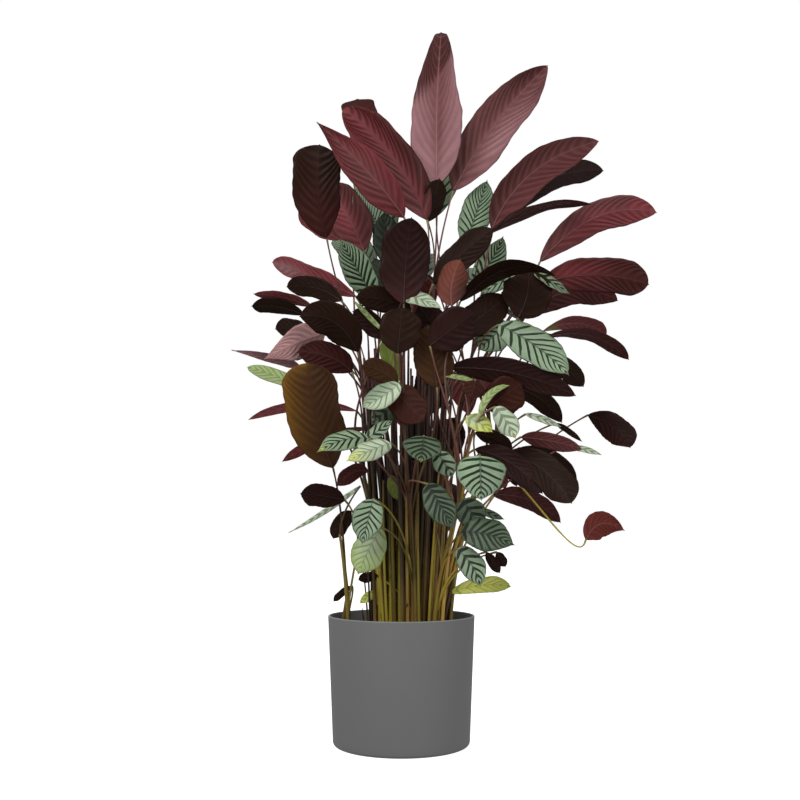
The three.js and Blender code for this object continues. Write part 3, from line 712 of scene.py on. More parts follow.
def vein_pattern(wires):
    """How far a point is from the midrib, the count of side veins up to it, and its place between two."""
    across, along, _ = wires.coordinates("UV").parts()
    spread = abs(across * 2 - 1)
    phase = along * wires.attribute("veins")
    between = abs(phase.fraction() - 0.5) * 2
    return spread, phase, between


def streaks_along_veins(wires, spread, phase):
    """Soft noise drawn out along the side veins."""
    lane = wires.vector(phase * 3.1, spread * 0.7, wires.attribute("leaf_turn") * 40)
    return wires.noise(lane, 1.0, 4, 0.62)


def underside_finish():
    """Satin underside, streaked along its side veins, with raised veins, painted shade in the valleys between
    them, and a fine grain.
    """
    material, wires, shader = new_finish("leaf_underside", 0.12)
    place = wires.coordinates("Object")
    spread, phase, between = vein_pattern(wires)
    tone = wires.attribute("under_tone", "Color")
    rib_tone = wires.attribute("rib_tone", "Color")
    pleated = wires.attribute("pleated")
    mottle = wires.noise(place, 34, 4, 0.6)
    cloud = wires.noise(place, 11, 2)
    streak = streaks_along_veins(wires, spread, phase)
    fine_vein = 1 - (abs((phase * 5).fraction() - 0.5) * 2).rise(0.0, 0.6)
    vein = (1 - between.rise(0.0, 0.16)) * (1 - spread.rise(0.72, 0.98))
    # Painted shade: the valleys between the side veins, away from the midrib and the margin
    valley = between.rise(0.15, 1.0) * (1 - spread.rise(0.75, 1.0)) * spread.rise(0.0, 0.16)
    by_rib = 1 - spread.rise(0.0, 0.1)
    veined = wires.mix(vein * 0.24 + by_rib * 0.3, tone, rib_tone)
    speckle = wires.noise(place, 150, 3, 0.7)
    light = 0.44 + mottle * 0.3 + cloud * 0.3 + streak * 0.5 + speckle * 0.24 - fine_vein * 0.06
    # Painted light and shade: the blade's painted light, and painted shade in the valleys, deeper on pleated
    # leaves
    light = light * wires.attribute("leaf_shade") * (1.08 - valley * pleated * 0.24)
    light = light * (1 - spread.rise(0.94, 1.0) * 0.3)
    roughness = 0.34 + mottle * 0.2 + valley * 0.08
    grain = wires.noise(place, 700, 2, 0.6)
    height = fine_vein * 0.6 + vein * 1.2 + grain * 0.5 - valley * 0.4
    feed(shader, veined.scaled(light), roughness, wires.bump(height, 0.0003, 0.6))
    return material


def upperside_finish():
    """Striped upper side: dark bands between the side veins on silver, closing to a V at the midrib."""
    material, wires, shader = new_finish("leaf_upperside", 0.3)
    place = wires.coordinates("Object")
    spread, phase, _ = vein_pattern(wires)
    wobble = wires.noise(place, 60, 3) - 0.5
    uneven = wires.noise(wires.vector(phase * 0.9, spread * 0.5, wires.attribute("leaf_turn") * 60), 1.0, 2)
    moved = phase + wobble * 0.2
    off_band = abs(moved.fraction() - 0.5) * 2
    reach = spread + wobble * 0.1
    dark_share = wires.attribute("dark_share")
    taper = 0.55 + uneven * 0.95 + (1 - reach.rise(0.0, 0.3)) * 0.25 - reach.rise(0.4, 0.98) * 0.5
    band = 1 - (off_band - dark_share * taper).rise(-0.08, 0.08)
    band = band * (1 - reach.rise(0.86, 0.95))
    hair = (1 - abs(off_band - 0.97).rise(0.0, 0.06)) * 0.22
    margin = spread.rise(0.93, 0.985) * 0.9
    beside_rib = (1 - spread.rise(0.02, 0.07)) * 0.75
    rib = 1 - spread.rise(0.006, 0.022)
    dark = band.highest(hair).highest(margin).highest(beside_rib) * wires.attribute("band_share")
    pale = wires.attribute("upper_tone", "Color")
    marks = wires.attribute("mark_tone", "Color")
    mottle = wires.noise(place, 70, 3, 0.6)
    streak = streaks_along_veins(wires, spread, phase)
    greened = wires.mix(spread.rise(0.5, 1.0) * 0.22 + streak.rise(0.4, 0.8) * 0.2, pale, marks)
    banded = wires.mix(dark, greened, marks)
    ribbed = wires.mix(rib * 0.35, banded, pale)
    cloud = wires.noise(place, 22, 2)
    # The blade's painted light and shade of its halves and tip scale the random tone
    light = (0.56 + mottle * 0.32 + streak * 0.32 + cloud * 0.26) * wires.attribute("leaf_shade")
    fine_vein = 1 - (abs((phase * 6).fraction() - 0.5) * 2).rise(0.0, 0.5)
    grain = wires.noise(place, 800, 2, 0.6)
    normal = wires.bump(fine_vein * 0.5 + grain * 0.5 - rib * 2, 0.0003, 0.5)
    feed(shader, ribbed.scaled(light), 0.34 + mottle * 0.14, normal)
    return material


def rib_finish():
    """Midrib below the blade, pinkish and smooth."""
    material, wires, shader = new_finish("leaf_rib")
    place = wires.coordinates("Object")
    streak = wires.noise(place, 180, 3)
    # The rib shares the blade's painted light and shade
    tone = wires.attribute("rib_tone", "Color").scaled((0.75 + streak * 0.45) * wires.attribute("leaf_shade"))
    feed(shader, tone, 0.36 + streak * 0.12, wires.bump(streak, 0.0002, 0.4))
    return material


def stem_finish(settings):
    """Canes and stalks: straw and moss at the soil, rusty higher up, with streaks along them, and painted
    shade in the thick of the clump.
    """
    material, wires, shader = new_finish("stem_skin")
    place = wires.coordinates("Object")
    x, y, z = place.parts()
    around, _, _ = wires.coordinates("UV").parts()
    own = wires.attribute("stem_shade")
    age = wires.attribute("stem_age")
    knee = wires.attribute("stem_knee")
    lane = wires.vector(around * 5 + own * 31, z * 7, own * 17)
    streak = wires.noise(lane, 1.6, 4, 0.65)
    blotch = wires.noise(place, 34, 3, 0.6)
    height = z + (own - 0.5) * 0.14 + (blotch - 0.5) * 0.14
    rusty = height.rise(0.27, 0.5)
    blushed = height.rise(0.55, 0.9)
    green = (own * 3.7 + streak * 0.3).fraction().rise(0.2, 0.6)
    low = wires.mix(green * 0.8, settings.straw, settings.moss)
    skin = wires.mix(rusty, low, settings.rust)
    skin = wires.mix(blushed, skin, settings.blush)
    redness = ((own * 5.3).fraction() + streak * 0.7).rise(0.85, 1.2) * (1 - rusty)
    skin = wires.mix(redness * 0.8, skin, settings.rust)
    skin = wires.mix(knee * 0.75, skin, settings.knee_green)
    skin = wires.mix(age, skin, settings.bark_and_shade)
    # Painted shade: low in the thick of the clump, near the plant's axis, stems are mixed towards the bark
    # colour and darkened
    from_axis = (x * x + y * y) ** 0.5
    shaded = height.rise(0.26, 0.36) * (1 - height.rise(0.46, 0.66)) * (1 - from_axis.rise(0.05, 0.13))
    skin = wires.mix(shaded * 0.5, skin, settings.bark_and_shade)
    light = 0.3 + streak * 0.95 + blotch * 0.25
    light = light * (0.5 + (own * 9.1).fraction() * 0.85) * (1.22 - shaded * 0.7)
    feed(shader, skin.scaled(light), 0.34 + streak * 0.22, wires.bump(streak + blotch * 0.4, 0.0008, 0.6))
    return material


def husk_finish(settings):
    """Dry papery sheaths at the foot of the clump."""
    material, wires, shader = new_finish("dry_husk")
    place = wires.coordinates("Object")
    x, y, z = place.parts()
    fibre = wires.noise(wires.vector(x * 420, y * 420, z * 26), 1, 4, 0.7)
    patch = wires.noise(place, 60, 2)
    dark = [0.35 * part for part in settings.husk]
    skin = wires.mix(fibre * 0.6 + patch * 0.5, dark, settings.husk)
    feed(shader, skin, 0.66 + fibre * 0.25, wires.bump(fibre, 0.0012, 0.7))
    return material


def soil_finish(settings):
    """Moist peat with dry fibres and a few pale grains."""
    material, wires, shader = new_finish("peat")
    place = wires.coordinates("Object")
    clod = wires.noise(place, 90, 5, 0.65)
    fibre = wires.noise(place, 420, 4, 0.75)
    grain = wires.node("ShaderNodeTexVoronoi", {}, {"Vector": place, "Scale": 330.0}, "Distance")
    dark = [0.4 * part for part in settings.peat]
    skin = wires.mix(clod.rise(0.35, 0.7), dark, settings.peat)
    skin = wires.mix(fibre.rise(0.58, 0.8) * 0.7, skin, settings.fibre)
    feed(shader, skin, 0.75 + fibre * 0.2, wires.bump(clod + fibre * 0.6 + grain * 0.4, 0.002, 0.9))
    return material


def pot_finish(settings):
    """Smooth matt grey with a faint grain, a painted highlight along the rim, and a little darker towards the
    foot.
    """
    material, wires, shader = new_finish("pot_skin", 0.35)
    place = wires.coordinates("Object")
    x, y, z = place.parts()
    grain = wires.noise(place, 1400, 3, 0.7)
    cloud = wires.noise(place, 12, 3, 0.55)
    sweep = wires.noise(wires.vector(x * 4, y * 4, z * 60), 1, 3, 0.6)
    # Painted highlight: the top edge of the rim is mixed towards the lighter grey
    rim = z.rise(settings.height - 0.0022, settings.height - 0.0004)
    foot = 1 - z.rise(0.0, 0.02)
    light = 0.955 + grain * 0.05 + cloud * 0.05 - foot * 0.05
    skin = wires.mix(rim * 0.7, settings.grey, settings.rim_highlight_grey)
    roughness = 0.46 + grain * 0.08 + cloud * 0.06
    feed(shader, skin.scaled(light), roughness, wires.bump(grain * 0.5 + sweep * 0.25, 0.00012, 0.5))
    return material


def floor_finish(settings):
    """Pale paper floor with the least unevenness."""
    material, wires, shader = new_finish("paper", 0.1)
    place = wires.coordinates("Object")
    cloud = wires.noise(place, 1.5, 2)
    tone = wires.mix(0.5, settings.paper, settings.paper).scaled(0.99 + cloud * 0.02)
    feed(shader, tone, 0.85, wires.bump(wires.noise(place, 300, 2), 0.0002, 0.1))
    shine(shader, settings.glow)
    return material


def shine(shader, strength):
    """Makes a surface shine white of itself."""
    shader.inputs["Emission Color"].default_value = (1, 1, 1, 1)
    shader.inputs["Emission Strength"].default_value = strength


def backdrop_finish():
    """Pure white that shines evenly."""
    material, _, shader = new_finish("white_backdrop")
    feed(shader, (0, 0, 0, 1), 1.0, None)
    shine(shader, 1.0)
    return material


def deselect():
    """Leaves nothing selected, because an operator acts on all that is."""
    if bpy.context.mode != "OBJECT":
        bpy.ops.object.mode_set(mode="OBJECT")
    bpy.ops.object.select_all(action="DESELECT")


def pick(*objects):
    """Selects these objects alone, and makes the first of them active."""
    deselect()
    for each in objects:
        each.select_set(True)
    bpy.context.view_layer.objects.active = objects[0]


def named(name):
    """The object that was just added, under its own name."""
    made = bpy.context.active_object
    made.name = name
    made.data.name = name
    return made


def pick_parts(made, kind, wanted):
    """Selects the faces, edges or vertices of the mesh in edit mode for which wanted is true."""
    bpy.ops.object.mode_set(mode="OBJECT")
    mesh = made.data
    for part in (*mesh.vertices, *mesh.edges, *mesh.polygons):
        part.select = False
    for part in getattr(mesh, kind):
        if wanted(part):
            part.select = True
    modes = {"vertices": "VERT", "edges": "EDGE", "polygons": "FACE"}
    bpy.ops.object.mode_set(mode="EDIT")
    bpy.context.tool_settings.mesh_select_mode = [modes[kind] == m for m in ("VERT", "EDGE", "FACE")]


def ends_of(mesh, edge):
    """The two ends of an edge."""
    return [mesh.vertices[index].co for index in edge.vertices]


def finish_piece(made, slot_name, *nodes):
    """A finished piece rides with the plant and stands for its CAD nodes, which are hidden; its slot name is
    not used.
    """
    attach(made, "root")
    if nodes:
        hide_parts(*nodes)


def copy_of(blank, name):
    """A copy of a blank with a mesh of its own."""
    made = bpy.data.objects.new(name, blank.data.copy())
    made.data.name = name
    bpy.context.scene.collection.objects.link(made)
    return made


def places_of(mesh):
    """The vertices of a mesh, one row each."""
    places = np.empty(3 * len(mesh.vertices))
    mesh.vertices.foreach_get("co", places)
    return places.reshape(-1, 3)


def move_to(mesh, places):
    """Puts the vertices of a mesh in new places."""
    mesh.vertices.foreach_set("co", np.asarray(places, dtype=np.float64).ravel())
    mesh.update()


def set_value(mesh, name, values):
    """Writes a number on each vertex of a mesh, or one number on all."""
    layer = mesh.attributes.new(name, "FLOAT", "POINT")
    rows = np.broadcast_to(np.asarray(values, dtype=np.float32), len(mesh.vertices))
    layer.data.foreach_set("value", np.ascontiguousarray(rows))


def set_colour(mesh, name, values):
    """Writes a colour on each vertex of a mesh, or one colour on all."""
    layer = mesh.attributes.new(name, "FLOAT_COLOR", "POINT")
    rows = np.ones((len(mesh.vertices), 4), dtype=np.float32)
    rows[:, :3] = values
    layer.data.foreach_set("color", rows.ravel())


def unit(vectors):
    """Vectors brought to a length of 1."""
    return vectors / np.linalg.norm(vectors, axis=-1, keepdims=True)


def in_metres(values):
    """A place or length of the tables, in metres."""
    return np.array(values, dtype=float) * MM


class Curve:
    """A smooth curve drawn by control points: three for a midrib or cane, and four for a stalk."""

    def __init__(self, *controls):
        self.controls = [np.array(control, dtype=float) for control in controls]

    def point(self, shares):
        """Places at these shares of the curve."""
        s = np.atleast_1d(shares)[:, None]
        order = len(self.controls) - 1
        terms = [math.comb(order, k) * (1 - s) ** (order - k) * s**k * c for k, c in enumerate(self.controls)]
        return sum(terms)

    def direction(self, shares):
        """The way the curve runs at these shares."""
        steps = [2 * (b - a) for a, b in zip(self.controls, self.controls[1:])]
        return unit(Curve(*steps).point(shares))

    def length(self):
        """Its length, from short straight steps."""
        points = self.point(np.linspace(0, 1, 60))
        return float(np.linalg.norm(np.diff(points, axis=0), axis=1).sum())


def midrib_of(leaf):
    """The curve from a leaf's foot to its tip."""
    foot, tip, bow = in_metres(leaf.foot), in_metres(leaf.tip), in_metres(leaf.bow)
    return Curve(foot, (foot + tip) / 2 + 2 * bow, tip)


def soil_height(radius, pot, soil):
    """Height of the smooth soil at a distance from the pot's axis."""
    inner = inner_radius(soil.edge_height, pot)
    dome = np.cos(np.minimum(radius / inner, 1) * math.pi / 2) ** 2
    return soil.edge_height + (soil.crown_height - soil.edge_height) * dome


def inner_radius(height, pot):
    """Radius of the pot's inner wall at a height."""
    climb = height / pot.height
    return pot.base_radius + (pot.rim_radius - pot.base_radius) * climb - pot.wall


def cane_of(shoot, settings):
    """The curve of a shoot's cane, from below the soil to its top."""
    x, y = in_metres(shoot.foot)
    scene = bpy.context.scene
    ground = soil_height(math.hypot(x, y), scene.plant_pot, scene.plant_soil)
    top = in_metres(shoot.top)
    start = np.array((x, y, ground - settings.rooted))
    return Curve(start, (x, y, (start[2] + top[2]) / 2), top)


def share_at_height(curve, height):
    """The share of a cane at which it reaches a height."""
    low, high = curve.controls[0][2], curve.controls[-1][2]
    return min(max((height - low) / (high - low), 0.0), 1.0)


# How a leaf stalk leaves its cane, as in the part, and the steeper way (short) of leaves left out of it
SHORT_RISE = 0.05
LEAST_RISE = 0.2
RISE_PER_REACH = 0.8
LOWEST_START = 0.205
BELOW_CANE_TOP = 0.004
STALK_STIFFNESS = 0.35
STALK_UPWARD_PULL = 0.7
SHORT_UPWARD_PULL = 1.2
SHORT_OUTWARD_PULL = 1.4


def stalk_of(leaf, cane):
    """The curve of a leaf stalk, and the share of the cane at which it starts."""
    midrib = midrib_of(leaf)
    foot = midrib.controls[0]
    beside = cane.point(share_at_height(cane, foot[2]))[0]
    reach = math.hypot(*(foot - beside)[:2])
    rise = LEAST_RISE + RISE_PER_REACH * reach if leaf.name in frame["nodes"] else SHORT_RISE + reach
    highest = cane.controls[-1][2] - BELOW_CANE_TOP
    usual_height = min(max(foot[2] - rise, LOWEST_START), highest)
    start_share = share_at_height(cane, leaf.stalk_start * MM or usual_height)
    start = cane.point(start_share)[0]
    leave = cane.direction(start_share)[0]
    if leaf.name in frame["nodes"]:
        arrive = unit(midrib.direction(0.0)[0] + STALK_UPWARD_PULL * UP)
    else:
        outward = (foot - beside) * (1, 1, 0) / max(reach, MM)
        arrive = unit(midrib.direction(0.0)[0] + SHORT_UPWARD_PULL * UP + SHORT_OUTWARD_PULL * outward)
    pull = STALK_STIFFNESS * float(np.linalg.norm(foot - start))
    return Curve(start, start + leave * pull, foot - arrive * pull, foot), start_share


def run_along(points):
    """How far along a path each of its points lies."""
    steps = np.linalg.norm(np.diff(points, axis=0), axis=1)
    return np.concatenate([[0.0], np.cumsum(steps)])


def evenly(points, count):
    """A path drawn again with evenly spaced points."""
    run = run_along(points)
    wanted = np.linspace(0, run[-1], count)
    return np.stack([np.interp(wanted, run, points[:, axis]) for axis in range(3)], axis=1)


def lay_tube(mesh, path, radii, flat=1.0):
    """Lays an upright round blank of height 1 and radius 1 along a path, and returns each vertex's ring."""
    places = places_of(mesh)
    along = unit(np.gradient(path, axis=0))
    axes = np.eye(3)
    sideways = axes[np.argmin(np.abs(along).max(axis=0))]
    first = unit(np.cross(along, sideways))
    second = np.cross(along, first)
    rings = np.rint(places[:, 2] * (len(path) - 1)).astype(int)
    out = places[:, :1] * first[rings] * flat + places[:, 1:2] * second[rings]
    move_to(mesh, path[rings] + out * radii[rings, None])
    return rings


def tube_blank(name, sides, rings):
    """A closed cylinder of height 1 and radius 1, cut into rings."""
    deselect()
    bpy.ops.mesh.primitive_cylinder_add(vertices=sides, radius=1, depth=1, location=(0, 0, 0.5))
    made = named(name)
    bpy.ops.object.transform_apply(location=True, rotation=True, scale=True)
    pick_parts(made, "edges", lambda edge: abs(np.subtract(*[p.z for p in ends_of(made.data, edge)])) > 0.5)
    bpy.ops.mesh.subdivide(number_cuts=rings - 1)
    bpy.ops.object.mode_set(mode="OBJECT")
    bpy.ops.object.shade_smooth()
    return made


def leaf_blank(name, columns, rows):
    """A flat square grid that leaves are copied from."""
    deselect()
    bpy.ops.mesh.primitive_grid_add(x_subdivisions=columns, y_subdivisions=rows, size=1)
    made = named(name)
    bpy.ops.object.shade_smooth()
    return made


def discard(*objects):
    """Removes blanks once their copies are made."""
    for each in objects:
        bpy.data.objects.remove(each)


def join_all(objects, name):
    """Joins objects into one, under a name."""
    pick(*objects)
    if len(objects) > 1:
        bpy.ops.object.join()
    return named(name)


def veins_on(leaf, size):
    """How many pairs of side veins a leaf of this length has."""
    multiple, _ = BANDING.get(leaf.name, (1, 0))
    return max(LEAST_VEINS, round(multiple * size / (VEIN_SPACING + SPACING_GROWTH * size)))


def pleats_of(leaf):
    """How deep a leaf's pleats are, as a multiple of the usual."""
    return PLEATS.get(leaf.name, PLEATS.get(leaf.tone, 1))


class Outline(NamedTuple):
    """How the blades of one kind round out from the foot, and how the side veins lean near the margin."""

    before_widest: float
    after_widest: float
    after_if_blunt: float
    foot_power: float
    lean_power: float


STRIPED_OUTLINE = Outline(0.0, 0.02, 0.0, 0.42, 0.95)
USUAL_OUTLINE = Outline(0.1, 0.06, 0.24, 0.72, 1.3)
# The longest that a point is, and where a neck is narrowest, as shares of the blade's length
LONGEST_POINT = 0.03
NECK_END = 0.96

# Side veins: the fewest pairs, and the spacing of pairs, which grows with the blade's length
LEAST_VEINS = 4
VEIN_SPACING = 0.009
SPACING_GROWTH = 0.045

# How the rows of a blade crowd at both ends, and the height of the curve by which they lean near its foot
CROWDING = 0.18
HIGHEST_NEAR_FOOT = 0.148

# Waves in a blade's outline: height as a share of the half width, count, how often the random start
# is added, and the shift between the two margins
MARGIN_WAVES = ((0.028, 2.3, 1, 1.7), (0.012, 9, 2, 1))
# How much wider one half can be, and how a blade rolls along its length: degrees, and where it is level
MOST_LOPSIDED = 0.05
MOST_ROLL = 10
LEVEL_SHARE = 0.3


def outline_of(leaf):
    """The kind of outline of a leaf, by the side that faces the front."""
    return STRIPED_OUTLINE if leaf.tone in BAND_SHARE else USUAL_OUTLINE


def half_width(leaf, shares, size, settings):
    """Half a blade's width: it rounds out from the foot, keeps its width, and closes to a short point."""
    outline = outline_of(leaf)
    blunt = BLUNTNESS.get(leaf.name, settings.blunt)
    closes = 1 - min(settings.point / size, LONGEST_POINT)
    place = np.clip(shares / closes, 0, 1)
    near_shoulder = leaf.widest - outline.before_widest
    far_shoulder = leaf.widest + (outline.after_widest + outline.after_if_blunt * blunt)
    base = np.sin(math.pi / 2 * np.minimum(place / near_shoulder, 1)) ** outline.foot_power
    fall = np.clip((place - far_shoulder) / (1 - far_shoulder), 0, 1)
    tip = np.cos(math.pi / 2 * fall).clip(0) ** (0.95 - 0.5 * blunt)
    if leaf.name in NECKS:
        neck_start, width_left = NECKS[leaf.name]
        tip = tip * (1 - (1 - width_left) * np.clip((place - neck_start) / (NECK_END - neck_start), 0, 1))
    least = settings.narrowest * np.minimum(1, 0.25 + 0.75 * (1 - shares) / (1 - closes))
    return np.maximum(leaf.width * MM / 2 * base * tip, least)


def above_midrib(leaf, along):
    """The way the upper side looks, square to each step of the midrib."""
    face = np.array(leaf.face, dtype=float)
    return unit(face - (along @ face)[:, None] * along)


def lay_blade(mesh, leaf, settings):
    """Lays a square grid along a midrib: rows follow the side veins, and the outline is drawn in."""
    chance = random.Random(leaf.name)
    midrib = midrib_of(leaf)
    size = midrib.length()
    width = leaf.width * MM
    grid = places_of(mesh)
    across = 2 * grid[:, 0]
    margin_side = np.sign(across)
    spread = np.abs(across)
    even = grid[:, 1] + 0.5
    row = even - CROWDING * np.sin(math.tau * even) / math.tau
    sweep = SWEEPS.get(leaf.name, min(settings.sweep * width / size, settings.most_sweep))
    if leaf.tone in BAND_SHARE:
        lean = 4 * row * (1 - row) * (0.75 + 0.25 * row)
    else:
        lean = 0.6 * row * (1 - row) ** 2 / HIGHEST_NEAR_FOOT + 0.4 * 4 * row * (1 - row)
    shares = row + sweep * spread ** outline_of(leaf).lean_power * lean
    half = half_width(leaf, shares, size, settings)
    margin = 1 + chance.uniform(-MOST_LOPSIDED, MOST_LOPSIDED) * margin_side
    start = chance.uniform(0, math.tau)
    for height, count, starts, shift in MARGIN_WAVES:
        margin += height * np.sin(math.tau * count * shares + starts * start + shift * margin_side)
    reach = across * half * margin
    along = midrib.direction(shares)
    above = above_midrib(leaf, along)
    side = np.cross(along, above)
    roll = math.radians(chance.uniform(-MOST_ROLL, MOST_ROLL)) * (shares - LEVEL_SHARE)
    fold = math.radians(leaf.fold)
    lift = np.abs(reach) * math.sin(fold) - settings.curl * half * spread**2
    hump = np.sin(math.pi * np.minimum(spread * 1.02, 1)) ** 0.7
    pleat = settings.pleat * width * pleats_of(leaf)
    pleats = np.cos(math.tau * (row * veins_on(leaf, size)))
    lift += pleat * pleats * hump * np.sin(math.pi * row) ** 0.4
    waves = chance.uniform(1.6, 3.2)
    ripple = np.sin(math.tau * waves * shares + start + margin_side * 1.3)
    lift += settings.ripple * width * ripple * spread**3 * np.sin(math.pi * np.clip(shares, 0, 1)) ** 0.5
    flat = reach * math.cos(fold)
    sideways = flat * np.cos(roll) - lift * np.sin(roll)
    upwards = flat * np.sin(roll) + lift * np.cos(roll)
    move_to(mesh, midrib.point(shares) + side * sideways[:, None] + above * upwards[:, None])
    lay_pattern(mesh, across, row)
    return across, shares


def lay_pattern(mesh, across, row):
    """Puts the pattern's coordinates on a blade: across it, and along it by its side veins."""
    corners = np.empty(len(mesh.loops), dtype=np.int32)
    mesh.loops.foreach_get("vertex_index", corners)
    pairs = np.stack([across / 2 + 0.5, row], axis=1)[corners]
    mesh.uv_layers.active.data.foreach_set("uv", pairs.astype(np.float32).ravel())


# The midrib's tube: its rings, where it ends along the blade, and its two colours
RIB_RINGS = 48
RIB_END = 0.96
DARK_RIB = linear(84, 24, 30)
PINK_RIB = linear(178, 120, 122)


def rib_under(blank, leaf, settings):
    """The midrib's tube, sunk into the underside of the blade, and the share of the midrib at each vertex."""
    rib = copy_of(blank, "rib")
    midrib = midrib_of(leaf)
    shares = np.linspace(0, RIB_END, RIB_RINGS + 1)
    path = midrib.point(shares)
    above = above_midrib(leaf, midrib.direction(shares))
    foot_radius = settings.rib * min(1.0, 0.35 + leaf.width / 130)
    radii = foot_radius * (1 - 0.85 * shares**0.7)
    rings = lay_tube(rib.data, path - above * (settings.thickness / 2 + 0.75 * radii[:, None]), radii)
    return rib, shares[rings]


def rib_tone(leaf, tone):
    """The colour of the midrib below a blade: reddish on some, and else the pinker the paler the blade."""
    if leaf.name in DARK_RIBS:
        return 0.6 * tone + 0.4 * np.array(DARK_RIB)
    pale = float(np.clip((tone.max() - 0.03) / 0.12, 0.03, 1))
    return tone + 0.4 * pale * (np.array(PINK_RIB) - tone)


def washed(shown, tones, name, amount):
    """Colours brought nearer to a tone by an amount at each vertex."""
    return shown + amount[:, None] * (np.array(getattr(tones, name)) - shown)


def shown_tone(leaf, across, shares, tones):
    """The colour at each vertex of the side that faces the front, with its patches of other tones, painted
    sheen and shade among them, and the painted tone beyond a bent end.
    """
    shown = np.tile(np.array(getattr(tones, leaf.tone)), (len(shares), 1))
    for tone, middle, share, half_across, half_along in WASHES.get(leaf.name, []):
        distance = ((across - middle) / half_across) ** 2 + ((shares - share) / half_along) ** 2
        shown = washed(shown, tones, tone, np.exp(-distance))
    # Painted tone beyond the bend: painted shade on most leaves, a lighter painted red on one
    if leaf.name in BENT_ENDS:
        tone, left_share, right_share = BENT_ENDS[leaf.name]
        crease = left_share + (1 - across) / 2 * (right_share - left_share)
        beyond = np.clip((shares - crease) / CREASE_WIDTH + 0.5, 0, 1)
        shown = washed(shown, tones, tone, BENT_STRENGTH * beyond)
    return shown


def colour_blade(mesh, leaf, across, shares, tones):
    """Writes the colours of both sides on a blade or a rib, with its painted light and shade and its count of
    veins.
    """
    chance = random.Random(leaf.name + "_shade")
    # Painted light and shade: one half of the blade lighter than the other, and the tip lighter or darker
    # than the foot
    half_light = chance.uniform(-0.13, 0.13)
    tip_light = chance.uniform(-0.22, 0.16)
    turn = chance.random()
    shown = shown_tone(leaf, across, shares, tones)
    striped = leaf.tone in BAND_SHARE
    under_name = "wine" if striped else leaf.tone
    set_colour(mesh, "under_tone", tones.wine if striped else shown)
    set_colour(mesh, "rib_tone", rib_tone(leaf, np.array(getattr(tones, under_name))))
    set_colour(mesh, "upper_tone", shown if striped else tones.silver)
    set_colour(mesh, "mark_tone", tones.young_band if leaf.tone in YOUNG_TONES else tones.band)
    _, dark_share = BANDING.get(leaf.name, (1, chance.uniform(0.38, 0.52)))
    set_value(mesh, "dark_share", dark_share)
    set_value(mesh, "band_share", BAND_SHARE.get(leaf.tone, 1.0))
    set_value(mesh, "veins", veins_on(leaf, midrib_of(leaf).length()))
    set_value(mesh, "pleated", pleats_of(leaf))
    set_value(mesh, "leaf_turn", turn)
    set_value(mesh, "leaf_shade", 1 + half_light * np.tanh(4 * across) + tip_light * (shares - 0.4))


# Places of the finishes in a leaf's list of materials
UPPER_PLACE = 0
UNDER_PLACE = 1
RIB_PLACE = 2


def grow_leaf(leaf, blade_blank, rib_blank, settings, tones, finishes):
    """One leaf: a blade with its two sides, and the rib below it."""
    blade = copy_of(blade_blank, leaf.name + "_blade")
    across, shares = lay_blade(blade.data, leaf, settings)
    colour_blade(blade.data, leaf, across, shares, tones)
    thicken(blade, settings.thickness)
    rib, rib_shares = rib_under(rib_blank, leaf, settings)
    colour_blade(rib.data, leaf, np.zeros(len(rib_shares)), rib_shares, tones)
    for each in (blade, rib):
        for finish in finishes:
            each.data.materials.append(finish)
    rib.data.polygons.foreach_set("material_index", np.full(len(rib.data.polygons), RIB_PLACE))
    sides = np.full(len(blade.data.polygons), UNDER_PLACE)
    sides[:len(blade_blank.data.polygons)] = UPPER_PLACE
    blade.data.polygons.foreach_set("material_index", sides)
    pick(blade, rib)
    bpy.ops.object.join()
    return blade


def thicken(blade, thickness):
    """Gives a blade its wall. The grid's own faces stay the upper side, and come first."""
    pick(blade)
    wall = blade.modifiers.new("Wall", "SOLIDIFY")
    wall.thickness = thickness
    wall.offset = 0
    wall.use_even_offset = False
    bpy.ops.object.modifier_apply(modifier=wall.name)


